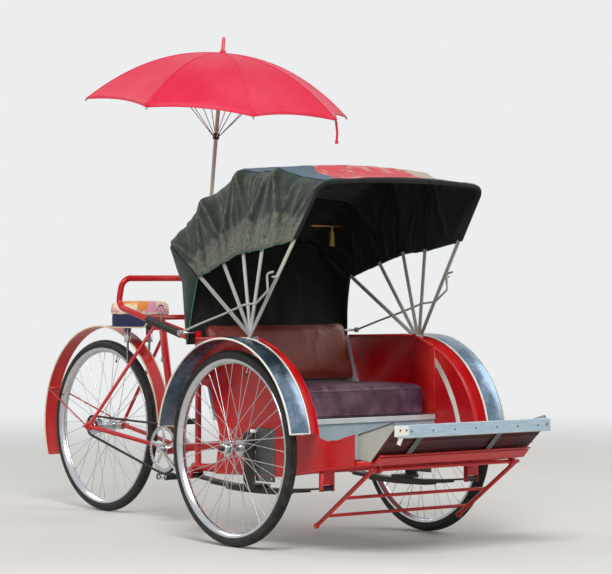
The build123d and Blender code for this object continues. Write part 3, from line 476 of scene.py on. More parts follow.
class Shape:
    """Vertices and faces gathered from several parts, each with its material's place in the list."""

    def __init__(self):
        self.verts, self.faces, self.slots, self.cloth = [], [], [], []

    def add(self, verts, faces, slot=0, cloth=None):
        first = len(self.verts)
        self.verts.extend(verts)
        self.faces.extend([tuple(first + i for i in face) for face in faces])
        self.slots.extend([slot] * len(faces))
        self.cloth.extend(cloth or [(0.0, 1.0)] * len(verts))

    def mesh(self, name):
        """The shape as a mesh with its material places and its flat cloth coordinates."""
        mesh = bpy.data.meshes.new(name)
        mesh.from_pydata([tuple(v) for v in self.verts], [], self.faces)
        mesh.polygons.foreach_set("material_index", self.slots)
        layer = mesh.uv_layers.new(name="cloth")
        for loop in mesh.loops:
            layer.data[loop.index].uv = self.cloth[loop.vertex_index]
        return mesh


def worked(mesh, change):
    """Lets a function change a mesh as an editable one."""
    work = bmesh.new()
    work.from_mesh(mesh)
    change(work)
    work.to_mesh(mesh)
    work.free()


def placed(name, data, body=None, instead=()):
    """An object in the scene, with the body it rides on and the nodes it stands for."""
    piece = bpy.data.objects.new(name, data)
    bpy.context.scene.collection.objects.link(piece)
    if body:
        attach(piece, body)
    if instead:
        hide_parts(*instead)
    return piece


def make_piece(name, shape, materials, body=None, instead=(), sharp=38.0, outward=True):
    """A mesh object from a shape, with its materials, smooth shading and the body it rides on."""
    mesh = shape.mesh(name)
    for material in materials:
        mesh.materials.append(finish(material))
    if outward:
        worked(mesh, lambda work: bmesh.ops.recalc_face_normals(work, faces=work.faces))
    mesh.shade_smooth()
    mesh.set_sharp_from_angle(angle=math.radians(sharp))
    return placed(name, mesh, body, instead)


def dressed(node, material):
    """A merged, smooth copy of a frame node in its finish, which stands for the node."""
    source = frame["nodes"][node]
    mesh = source.data.copy()
    worked(mesh, lambda work: bmesh.ops.remove_doubles(work, verts=work.verts, dist=0.00002))
    mesh.materials.clear()
    mesh.materials.append(finish(material))
    if not mesh.uv_layers.get("cloth"):
        mesh.uv_layers.new(name="cloth")
    mesh.shade_smooth()
    mesh.set_sharp_from_angle(angle=math.radians(32.0))
    placed(node + "_finish", mesh, source["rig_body"], [node])


def grid(rows, columns, around=False, closed=False):
    """Faces of a net of points; around joins its last column to the first one, and closed its last row."""
    faces = []
    for row in range(rows if closed else rows - 1):
        for column in range(columns if around else columns - 1):
            a, b = row * columns + column, row * columns + (column + 1) % columns
            step = ((row + 1) % rows) * columns
            faces.append((a, b, step + (column + 1) % columns, step + column))
    return faces


def capped(rows, columns):
    """Faces of a closed tube: a net joined round, with its first and last rows filled."""
    last = (rows - 1) * columns
    return grid(rows, columns, around=True) + [tuple(range(columns)), tuple(range(last, last + columns))]


def round_y(centre, out, degrees, y=0.0):
    """A point at this distance and angle from a crossways line through centre."""
    turn = math.radians(degrees)
    return Vector((centre.x + out * math.cos(turn), centre.y + y, centre.z + out * math.sin(turn)))


def lathe(shape, centre, profile, segments):
    """A profile of (across, out) points turned round the crossways line through centre."""
    turns = [360 * i / segments for i in range(segments)]
    verts = [round_y(centre, out, turn, across) for turn in turns for across, out in profile]
    shape.add(verts, grid(segments, len(profile), around=True, closed=True))


def frames_along(points, closed=False):
    """Two crossways directions at each point of a path, turned as little as they can be."""
    found = []
    total = len(points)
    up = None
    for i, point in enumerate(points):
        before = points[(i - 1) % total] if closed or i else point
        after = points[(i + 1) % total] if closed or i < total - 1 else point
        ahead = (after - before).normalized()
        if up is None:
            up = Vector((0, 0, 1)) if abs(ahead.z) < 0.9 else Vector((1, 0, 0))
        up = (up - ahead * up.dot(ahead)).normalized()
        found.append((up.copy(), ahead.cross(up).normalized()))
    return found


def tube(shape, points, radius, sides=8, slot=0, closed=False, flat=1.0):
    """A round or flattened rod along a path, with closed ends."""
    points = [Vector(p) for p in points]
    radii = radius if isinstance(radius, (list, tuple)) else [radius] * len(points)
    verts = []
    for point, (up, aside), size in zip(points, frames_along(points, closed), radii):
        for side in range(sides):
            angle = math.tau * side / sides
            verts.append(point + up * (size * flat * math.cos(angle)) + aside * (size * math.sin(angle)))
    total = len(points)
    shape.add(verts, grid(total, sides, around=True, closed=True) if closed else capped(total, sides), slot)


def rod(shape, start, run, radius, sides=8, slot=0, flat=1.0):
    """A straight rod from start along run."""
    start = Vector(start)
    tube(shape, [start, start + Vector(run)], radius, sides, slot, flat=flat)


def slab(shape, centre, size, axes=None, slot=0, bevel=0.0015):
    """A plate with its corners cut, so that its edges catch the light."""
    axes = axes or (Vector((1, 0, 0)), Vector((0, 1, 0)), Vector((0, 0, 1)))
    half = [s / 2 for s in size]
    bevel = min(bevel, *(h * 0.6 for h in half))
    signs = [(a, b) for a in (-1, 1) for b in (-1, 1)]
    corners = [(a, *rest) for a in (-1, 1) for rest in signs]
    verts, at = [], {}
    for corner in corners:
        for cut in range(3):
            at[*corner, cut] = len(verts)
            insets = [h - (bevel if i != cut else 0) for i, h in enumerate(half)]
            verts.append(sum((axes[i] * corner[i] * insets[i] for i in range(3)), Vector(centre)))
    faces = []
    for axis in range(3):
        first, second = [i for i in range(3) if i != axis]

        def place(along, a, b, cut):
            signs_by_axis = {axis: along, first: a, second: b}
            return at[signs_by_axis[0], signs_by_axis[1], signs_by_axis[2], cut]

        for sign in (-1, 1):
            faces.append(tuple(place(sign, a, b, axis) for a, b in ((-1, -1), (1, -1), (1, 1), (-1, 1))))
        for a, b in signs:
            strip = ((-1, first), (1, first), (1, second), (-1, second))
            faces.append(tuple(place(sign, a, b, cut) for sign, cut in strip))
    faces += [tuple(at[*corner, cut] for cut in range(3)) for corner in corners]
    shape.add(verts, faces, slot)


def plate_between(shape, a, b, side, wide, thick, slot=0):
    """A flat bar from a to b, its width along side."""
    run = b - a
    along = run.normalized()
    across = (side - along * side.dot(along)).normalized()
    slab(shape, (a + b) / 2, (run.length, wide, thick), (along, across, along.cross(across)), slot, 0.001)


def toothed_disc(shape, centre, root, tip, teeth, thick, bore):
    """A chain wheel with cut teeth and an open middle."""
    verts = []
    steps = teeth * 4
    for across in (-thick / 2, thick / 2):
        for step in range(steps):
            for out in (tip if step % 4 in (1, 2) else root, bore):
                verts.append(round_y(centre, out, 360 * step / steps, across))
    faces = []
    top = 2 * steps
    for step in range(steps):
        a, b = 2 * step, 2 * ((step + 1) % steps)
        faces += [(a, b, b + 1, a + 1), (top + a, top + a + 1, top + b + 1, top + b)]
        faces += [(a, top + a, top + b, b), (a + 1, b + 1, top + b + 1, top + a + 1)]
    shape.add(verts, faces)


def grown(name, maker, values, body, base=None):
    """Runs a node tree on a base mesh and keeps the result as a plain mesh piece that rides on body."""
    carrier = placed(name + "_carrier", base or bpy.data.meshes.new(name + "_base"))
    modifier = carrier.modifiers.new("grow", "NODES")
    if maker not in trees:
        trees[maker] = maker()
    modifier.node_group = trees[maker]
    for item in modifier.node_group.interface.items_tree:
        if item.in_out == "INPUT" and item.name in values:
            modifier[item.identifier] = values[item.name]
    graph = bpy.context.evaluated_depsgraph_get()
    result = bpy.data.meshes.new_from_object(carrier.evaluated_get(graph))
    bpy.data.objects.remove(carrier)
    if not result.uv_layers.get("cloth"):
        result.uv_layers.new(name="cloth")
    return placed(name, result, body)


trees = {}
sideways = Vector((0, 1, 0))


def new_tree(name, **sockets):
    """An empty geometry node tree with named inputs; returns it with its way to add a node and its inputs."""
    tree = bpy.data.node_groups.new(name, "GeometryNodeTree")
    tree.interface.new_socket("Geometry", in_out="INPUT", socket_type="NodeSocketGeometry")
    for label, kind in (*sockets.items(), ("Material", "Material")):
        tree.interface.new_socket(label.replace("_", " "), in_out="INPUT", socket_type="NodeSocket" + kind)
    tree.interface.new_socket("Geometry", in_out="OUTPUT", socket_type="NodeSocketGeometry")
    return tree, partial(add_node, tree), add_node(tree, "NodeGroupInput").node.outputs


def close_tree(tree, geometry, material):
    """Ends a tree with real geometry in one material."""
    smooth_parts = add_node(tree, "SetShadeSmooth", {0: geometry})
    real = add_node(tree, "RealizeInstances", {0: smooth_parts})
    painted = add_node(tree, "SetMaterial", {0: real, "Material": material})
    add_node(tree, "NodeGroupOutput", {0: painted})
    return tree


def spoke_tree():
    """Crossed wires from two hub flanges to a rim, each with its nipple, round a crossways axle."""
    tree, add, given = new_tree(
        "crossed spokes", Centre="Vector", Count="Int", Hub_Radius="Float", Rim_Radius="Float",
        Flange="Float", Wire="Float")
    quarter = add("Math", {0: given["Count"], 1: 4.0}, operation="DIVIDE")
    step = add("Math", {0: math.tau, 1: quarter}, operation="DIVIDE")
    wire = add("CurvePrimitiveCircle", {"Resolution": 6, "Radius": given["Wire"]})
    thick = add("Math", {0: given["Wire"], 1: 1.7}, **product)
    nipple = add("CurvePrimitiveCircle", {"Resolution": 6, "Radius": thick})
    points = add("MeshLine", {"Count": quarter, "Offset": (0.0, 0.0, 0.0)})
    moved = add("Transform", {0: points, "Translation": given["Centre"]})
    turn = add("Math", {0: add("InputIndex"), 1: step}, **product)
    rotation = add("CombineXYZ", {"Y": turn})
    joined = add("JoinGeometry")
    for side, lean in ((1, 1), (1, -1), (-1, 1), (-1, -1)):
        # On one side the two leans start half a step apart, and the other side's lie a quarter step on.
        # Each wire crosses three others of its side on its way out.
        start = (0.0 if side == 1 else 0.25) + (0.0 if lean == 1 else 0.5)
        flange = add("Math", {0: given["Flange"], 1: float(side), 2: 0.0022 * lean}, **product_and_sum)
        ends = []
        for ring, ahead, across in (("Hub Radius", 0.0, flange), ("Rim Radius", 1.5 * lean, side * 0.0035)):
            angle = add("Math", {0: step, 1: start + ahead}, **product)
            out_x, out_z = [
                add("Math", {0: add("Math", {0: angle}, operation=wave), 1: given[ring]}, **product)
                for wave in ("COSINE", "SINE")]
            ends.append(add("CombineXYZ", {0: out_x, 1: across, 2: out_z}))
        inner = add("Mix", {0: 0.955, 4: ends[0], 5: ends[1]}, out=1, data_type="VECTOR")
        for first, profile in ((ends[0], wire), (inner, nipple)):
            line = add("CurvePrimitiveLine", {"Start": first, "End": ends[1]})
            wires = add("CurveToMesh", {"Curve": line, "Profile Curve": profile, "Fill Caps": True})
            copies = add("InstanceOnPoints", {"Points": moved, "Instance": wires, "Rotation": rotation})
            tree.links.new(copies, joined.node.inputs[0])
    return close_tree(tree, joined, given["Material"])


def stud_tree():
    """Round heads set at an even spacing along the base mesh's lines, squashed to their height and turned to
    face one way.
    """
    tree, add, given = new_tree(
        "studs along a line", Spacing="Float", Radius="Float", Height="Float", Facing="Vector")
    curve = add("MeshToCurve", {0: given["Geometry"]})
    points = add("ResampleCurve", {0: curve, "Length": given["Spacing"]}, mode="LENGTH")
    head = add("MeshUVSphere", {"Segments": 10, "Rings": 6, "Radius": given["Radius"]})
    squashed = add("CombineXYZ", {0: 1.0, 1: 1.0, 2: given["Height"]})
    low = add("Transform", {0: head, "Scale": squashed})
    aim = add("AlignRotationToVector", {"Vector": given["Facing"]}, axis="Z")
    heads = add("InstanceOnPoints", {"Points": points, "Instance": low, "Rotation": aim})
    return close_tree(tree, heads, given["Material"])


def stitch_tree():
    """Short threads laid end to end along the base mesh's lines."""
    tree, add, given = new_tree("stitches along a seam", Spacing="Float")
    curve = add("MeshToCurve", {0: given["Geometry"]})
    points = add("ResampleCurve", {0: curve, "Length": given["Spacing"]}, mode="LENGTH")
    aim = add("AlignRotationToVector", {"Vector": add("InputTangent")}, axis="Z")
    thread = add("MeshCylinder", {"Vertices": 6, "Radius": 0.0007, "Depth": 0.0052})
    threads = add("InstanceOnPoints", {"Points": points, "Instance": thread, "Rotation": aim})
    return close_tree(tree, threads, given["Material"])


def ring_tree():
    """Copies of the base mesh turned evenly round an axis, such as ribs."""
    tree, add, given = new_tree("copies round an axis", Centre="Vector", Count="Int", Axis="Vector")
    back = add("VectorMath", {0: given["Centre"], "Scale": -1.0}, operation="SCALE")
    local = add("Transform", {0: given["Geometry"], "Translation": back})
    points = add("MeshLine", {"Count": given["Count"], "Offset": (0.0, 0.0, 0.0)})
    moved = add("Transform", {0: points, "Translation": given["Centre"]})
    step = add("Math", {0: math.tau, 1: given["Count"]}, operation="DIVIDE")
    turn = add("Math", {0: add("InputIndex"), 1: step}, **product)
    rotation = add("AxisAngleToRotation", {"Axis": given["Axis"], "Angle": turn})
    copies = add("InstanceOnPoints", {"Points": moved, "Instance": local, "Rotation": rotation})
    return close_tree(tree, copies, given["Material"])


def chain_tree():
    """A roller chain along the base mesh's loop: side plates in turn inside and outside, and rollers."""
    tree, add, given = new_tree("roller chain", Links="Int", Plate="Float", Pitch="Float")
    curve = add("MeshToCurve", {0: given["Geometry"]})
    points = add("ResampleCurve", {0: curve, "Count": given["Links"]}, mode="COUNT")
    ahead = add("AlignRotationToVector", {"Vector": add("InputTangent")}, axis="X", pivot_axis="Y")
    odd = add("Math", {0: add("InputIndex"), 1: 2.0}, operation="MODULO")
    long = add("Math", {0: given["Pitch"], 1: 1.55}, **product)
    tall = add("Math", {0: given["Plate"], 1: 1.8}, **product)
    plate = add("MeshCube", {"Size": add("CombineXYZ", {0: long, 1: 0.001, 2: tall})})
    joined = add("JoinGeometry")
    for sign in (-1, 1):
        offset = add("Math", {0: odd, 1: 0.0013 * sign, 2: 0.0022 * sign}, **product_and_sum)
        spread = add("SetPosition", {0: points, "Offset": add("CombineXYZ", {"Y": offset})})
        plates = add("InstanceOnPoints", {"Points": spread, "Instance": plate, "Rotation": ahead})
        tree.links.new(plates, joined.node.inputs[0])
    roller = add("MeshCylinder", {"Vertices": 8, "Radius": 0.0036, "Depth": 0.0085})
    lying = add("Transform", {0: roller, "Rotation": (math.pi / 2, 0.0, 0.0)})
    rollers = add("InstanceOnPoints", {"Points": points, "Instance": lying})
    tree.links.new(rollers, joined.node.inputs[0])
    return close_tree(tree, joined, given["Material"])


def line_mesh(paths, closed=False):
    """Paths as edges only, for the trees that follow a line."""
    mesh = bpy.data.meshes.new("line")
    verts, edges = [], []
    for path in paths:
        first = len(verts)
        verts.extend([tuple(p) for p in path])
        edges.extend((first + i, first + i + 1) for i in range(len(path) - 1))
        if closed:
            edges.append((first + len(path) - 1, first))
    mesh.from_pydata(verts, edges, [])
    return mesh


def studs(name, path, spacing, radius, facing, material, height):
    """A row of round heads along a path on the carriage."""
    values = {"Spacing": spacing, "Radius": radius, "Height": height, "Facing": facing}
    values["Material"] = finish(material)
    grown(name, stud_tree, values, "carriage", line_mesh([path]))


def stitches(name, paths, material, spacing):
    """Threads along seams on the carriage."""
    grown(name, stitch_tree, {"Spacing": spacing, "Material": finish(material)}, "carriage", line_mesh(paths))


def bake(piece):
    """Applies a piece's modifiers to its mesh."""
    graph = bpy.context.evaluated_depsgraph_get()
    mesh = bpy.data.meshes.new_from_object(
        piece.evaluated_get(graph), preserve_all_data_layers=True, depsgraph=graph)
    piece.modifiers.clear()
    piece.data = mesh


def cloth_piece(
        name, verts, faces, cloth, materials, thick, upward, sharp=60, outward=False, crests=None):
    """A sheet of cloth with its thickness; upward tells which way its first side looks at a face's centre."""
    shape = Shape()
    shape.add(verts, faces, 0, cloth)
    piece = make_piece(name, shape, materials, outward=outward, sharp=sharp)
    if crests:
        # The crests become the ridge attribute, which the canvas uses for painted highlight and painted shade
        piece.data.attributes.new("ridge", "FLOAT", "POINT").data.foreach_set("value", crests)
    if upward and sum(1 if p.normal.dot(upward(p.center)) > 0 else -1 for p in piece.data.polygons) < 0:
        piece.data.flip_normals()
    wall = piece.modifiers.new("cloth", "SOLIDIFY")
    wall.thickness, wall.offset = thick, 0.0
    if len(materials) > 1:
        wall.material_offset, wall.material_offset_rim = 1, 2
    bake(piece)
    return piece


def add_to(piece, shape):
    """Joins a shape into a piece's mesh; the materials are already the piece's own."""
    extra = shape.mesh("extra")
    extra.shade_smooth()
    worked(piece.data, lambda work: work.from_mesh(extra))
    bpy.data.meshes.remove(extra)


# Hood bows from the front one back: number, degrees ahead of upright, reach along the bow, reach of the hem
hood_rows = [
    (1, 33.5, 0.672, 0.43),
    (2, 9.0, 0.617, 0.33),
    (3, -12.0, 0.625, 0.323),
    (4, -35.0, 0.628, 0.34),
    (5, -57.0, 0.672, 0.42),
]
panel_face = 0.375
bow_half = 0.418
bow_step = 0.0065
bow_lean = 0.05
bow_crown = 0.022
bow_corner = 0.045


def fan_point(degrees, across, reach):
    """A point of the plane that stands at this angle on the hood's pin."""
    angle = math.radians(degrees)
    return Vector((hood_pin.x + reach * math.sin(angle), across, hood_pin.z + reach * math.cos(angle)))


def bow_outline(row, lift, low=None):
    """The bent line of a bow, as (across, reach) from its right foot over the top to its left foot."""
    half, reach, corner = bow_half - (row[0] - 1) * bow_step + lift, row[2] + lift, bow_corner + lift
    low = row[3] if low is None else low
    sides, bends, top = 18, 7, 26
    foot = Vector((half - low * bow_lean, low))
    peak = Vector((half - reach * bow_lean, reach))
    up = (peak - foot).normalized()
    turn = up.angle(Vector((-1.0, 2 * bow_crown / peak.x)))
    begin = peak - up * corner * math.tan(turn / 2)
    centre = begin + Vector((-up.y, up.x)) * corner
    line = [foot + (begin - foot) * (i / sides) for i in range(sides)]
    for i in range(bends + 1):
        line.append(centre + Matrix.Rotation(turn * i / bends, 2) @ Vector((up.y * corner, -up.x * corner)))
    last = line[-1]
    for i in range(1, top + 1):
        across = last.x * (1 - i / top)
        line.append(Vector((across, last.y + (reach + bow_crown - last.y) * (1 - (across / last.x) ** 2))))
    left = line[:-1]
    return [Vector((-p.x, p.y)) for p in left] + [line[-1]] + list(reversed(left))


def crease_height(where, stretch, seed):
    """Drawn-out folds in cloth: their height, from about -0.3 to 1, and how near the crest is."""
    spot = Vector((where[0] * stretch[0], where[1] * stretch[1], seed))
    bent = spot + Vector((noise.noise(spot * 0.7), noise.noise(spot * 0.7 + Vector((9, 4, 2))), 0)) * 1.1
    ridge = 1.0 - abs(noise.noise(bent)) * 2.4
    fine = noise.noise(bent * 2.7 + Vector((3, 8, 1)))
    return ridge * 0.75 + fine * 0.35, max(0.0, ridge - 0.86) / 0.14


# Folds that hang from a bow's corner: angle of their bow, degrees they lean ahead, share of the side, height
corner_folds = [
    (33.5, -9.0, 0.85, 0.009), (9.0, 12.0, 0.95, 0.015), (9.0, -3.0, 0.6, 0.01), (9.0, -19.0, 1.0, 0.018),
    (-12.0, 8.0, 0.55, 0.011), (-12.0, -9.0, 0.75, 0.013), (-12.0, -20.0, 1.0, 0.019),
    (-35.0, 9.0, 0.8, 0.013), (-35.0, -8.0, 0.7, 0.012), (-35.0, -19.0, 1.0, 0.013),
    (-57.0, 8.0, 0.85, 0.009),
]


def pulled_folds(degrees, down, reach, side):
    """Height and crest of the folds that run down a side from the bows' corners; down is 1 at the hem."""
    height, crest, valley = 0.0, 0.0, 0.0
    for bow, lean, tall, rise in corner_folds:
        if not -0.25 < down < tall:
            continue
        bend = 5.0 * noise.noise(Vector((down * 3.1, bow * 0.37 + lean, side * 2.0)))
        away = math.radians(degrees - bow - lean * down - bend * max(0.0, down)) * reach
        fade = min(1.0, (down + 0.25) / 0.35) * min(1.0, (tall - down) / 0.3)
        height += rise * fade * math.exp(-abs(away / 0.013) ** 1.4)
        # How strongly each crest takes the ridge colour, a painted highlight mixed with worn tan
        worn = 0.55 + 0.6 * noise.noise(Vector((down * 6.0, lean, bow)))
        crest = max(crest, worn * fade * math.exp(-(away / 0.0055) ** 2))
        valley = max(valley, fade * math.exp(-((abs(away) - 0.024) / 0.011) ** 2))
    # The crest comes back for a painted highlight, or else minus the valley for painted shade
    return height, crest if crest > 0.12 else -0.7 * valley


class RICKSHAW_OT_metalwork(bpy.types.Operator):
    """Paint and plate the frame, chassis, panels, bows and small metal parts"""
    bl_idname = "rickshaw.metalwork"
    bl_label = "Metalwork"

    def execute(self, context):
        coats = {
            "enamel": "rear_frame chassis side_panels push_hoop stand rear_fender",
            "grey": "hood_bow_1 hood_bow_2 hood_bow_3 hood_bow_4 hood_bow_5 left_hood_stay right_hood_stay",
            "steel": "king_pin hood_pivots saddle_frame",
            "dark": "front_axle leaf_springs",
            "sheet": "seat_box floor_pan",
            "maroon": "front_board",
        }
        for coat, nodes in coats.items():
            for node in nodes.split():
                dressed(node, coat)
        return {"FINISHED"}


class RICKSHAW_OT_wheels(bpy.types.Operator):
    """Build the wire wheels with rims, hubs, crossed spokes and ribbed tyres"""
    bl_idname = "rickshaw.wheels"
    bl_label = "Wheels"

    def execute(self, context):
        sizes = context.scene.rickshaw_wheels
        right_axle = Vector((front_axle.x, -front_axle.y, front_axle.z))
        # Each wheel's name, centre, body, half hub length, flange and barrel radius
        rows = [
            ("left", front_axle, "wheel_left", 0.048, 0.028, 0.014),
            ("right", right_axle, "wheel_right", 0.048, 0.028, 0.014),
            ("rear", rear_axle, "rear_wheel", 0.072, 0.034, 0.017),
        ]
        for name, centre, body, hub_half, flange, barrel in rows:
            shape = Shape()
            lathe(shape, centre, self.rim(), sizes.segments)
            lathe(shape, centre, self.hub(hub_half, flange, barrel, sizes.hub_radius), 40)
            if name == "rear":
                toothed_disc(shape, centre + sideways * chain_line(), 0.0345, 0.0395, 18, 0.0026, 0.016)
            make_piece(name + "_rim_and_hub", shape, ["steel"], body, [name + "_wheel"])
            grown(name + "_spokes", spoke_tree, {
                "Centre": centre, "Count": sizes.spokes, "Hub Radius": 0.0255, "Rim Radius": 0.3045,
                "Flange": flange, "Wire": sizes.spoke_radius, "Material": finish("wire"),
            }, body)
            rubber = Shape()
            lathe(rubber, centre, self.tyre(sizes.tread_depth), sizes.segments)
            make_piece(
                name + "_tyre_tread", rubber, ["rubber"], body, [name + "_tyre"], 50)
            valve = Shape()
            tube(valve, [round_y(centre, out, 74.0) for out in (0.3045, 0.281)], 0.0028)
            tube(valve, [round_y(centre, out, 74.0) for out in (0.283, 0.274)], 0.0038, slot=1)
            make_piece(name + "_valve", valve, ["steel", "rubber"], body)
        return {"FINISHED"}

    def rim(self):
        """A roadster's rim: rolled edges, and a deep well for the spoke heads."""
        half = [
            (0.012, 0.3168), (0.0148, 0.318), (0.0149, 0.3215), (0.0156, 0.3232), (0.017, 0.3237),
            (0.0181, 0.3228), (0.0184, 0.3208), (0.0178, 0.317), (0.016, 0.3135), (0.0128, 0.3105),
            (0.0085, 0.3078), (0.0055, 0.305), (0.003, 0.304),
        ]
        return half + [(-y, r) for y, r in reversed(half)]

    def hub(self, half, flange, barrel, cup):
        """Bright cups at the ends, a flange on each side and a slim barrel between them."""
        side = [
            (half, 0.0063), (half, 0.011), (half - 0.0015, 0.0148), (half - 0.005, cup - 0.0008),
            (half - 0.01, cup), (half - 0.0125, cup - 0.0006), (half - 0.013, barrel + 0.0004),
            (flange + 0.0022, barrel), (flange + 0.0015, 0.0295), (flange, 0.0302), (flange - 0.0015, 0.0295),
            (flange - 0.0022, barrel), (flange * 0.4, barrel * 0.92),
        ]
        return side + [(-y, r) for y, r in reversed(side)]

    def tyre(self, depth):
        """A round section with seven running grooves, and its beads in the rim."""
        half_width = 0.0193
        points = [(-0.0136, 0.3172)]
        for i in range(61):
            degrees = -116 + 232 * i / 60
            grooved = any(abs(abs(degrees) - at) < 2.4 for at in (0.0, 13.0, 26.0, 39.0))
            size = half_width - (depth if grooved else 0.0)
            turn = math.radians(degrees)
            points.append((size * math.sin(turn), wheel_radius - half_width + size * math.cos(turn)))
        return points + [(0.0136, 0.3172)]


def chain_line():
    """How far across the middle of the chain lies."""
    return (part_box("chain")[0].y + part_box("chain")[1].y) / 2


class RICKSHAW_OT_guards(bpy.types.Operator):
    """Build the zinc wheel guards with rolled white edges"""
    bl_idname = "rickshaw.guards"
    bl_label = "Wheel guards"

    def execute(self, context):
        for name, side in (("left", 1), ("right", -1)):
            low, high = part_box(name + "_fender")
            outer = max(abs(low.y), abs(high.y))
            inner = outer - 0.087
            radius = high.z - front_axle.z - 0.0015
            middle = Vector((front_axle.x, 0, front_axle.z))
            # The sheet is crowned by 6 mm and 1.8 mm thick
            section = [(inner + (outer - inner) * i / 12, 0.006 * (1 - (i / 6 - 1) ** 2)) for i in range(13)]
            loop = section + [(y, lift - 0.0018) for y, lift in reversed(section)]
            angles = [10 + 161 * i / 80 for i in range(81)]
            shape = Shape()
            verts = [round_y(middle, radius + lift, turn, side * y) for turn in angles for y, lift in loop]
            shape.add(verts, capped(len(angles), len(loop)))
            for y in (inner, outer):
                tube(shape, [round_y(middle, radius, turn, side * y) for turn in angles], 0.0036, slot=1)
            for turn in (angles[0], angles[-1]):
                rim = [round_y(middle, radius + lift, turn, side * y) for y, lift in section]
                tube(shape, rim, 0.0026, 6, 1)
            # The strip runs flat under the feet of the hood's bows before it rises to the guard
            strip = [(0.374, panel_face - 0.001), (0.374, 0.4235), (radius - 0.001, inner + 0.004)]
            strip += [(out - 0.0014, y) for out, y in reversed(strip)]
            closing = [round_y(middle, out, 10 + 2 * i, side * y) for i in range(66) for out, y in strip]
            shape.add(closing, capped(66, len(strip)), 2)
            make_piece(name + "_guard", shape, ["zinc", "white", "enamel"], "carriage", [name + "_fender"])
        # Cream beads along the rear guard's edges
        beads = Shape()
        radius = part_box("rear_fender")[1].z - rear_axle.z
        for y in (-0.03, 0.03):
            tube(beads, [round_y(rear_axle, radius, 2 + 198 * i / 90, y) for i in range(91)], 0.0032)
        make_piece("rear_guard_beads", beads, ["cream"], "bicycle")
        return {"FINISHED"}


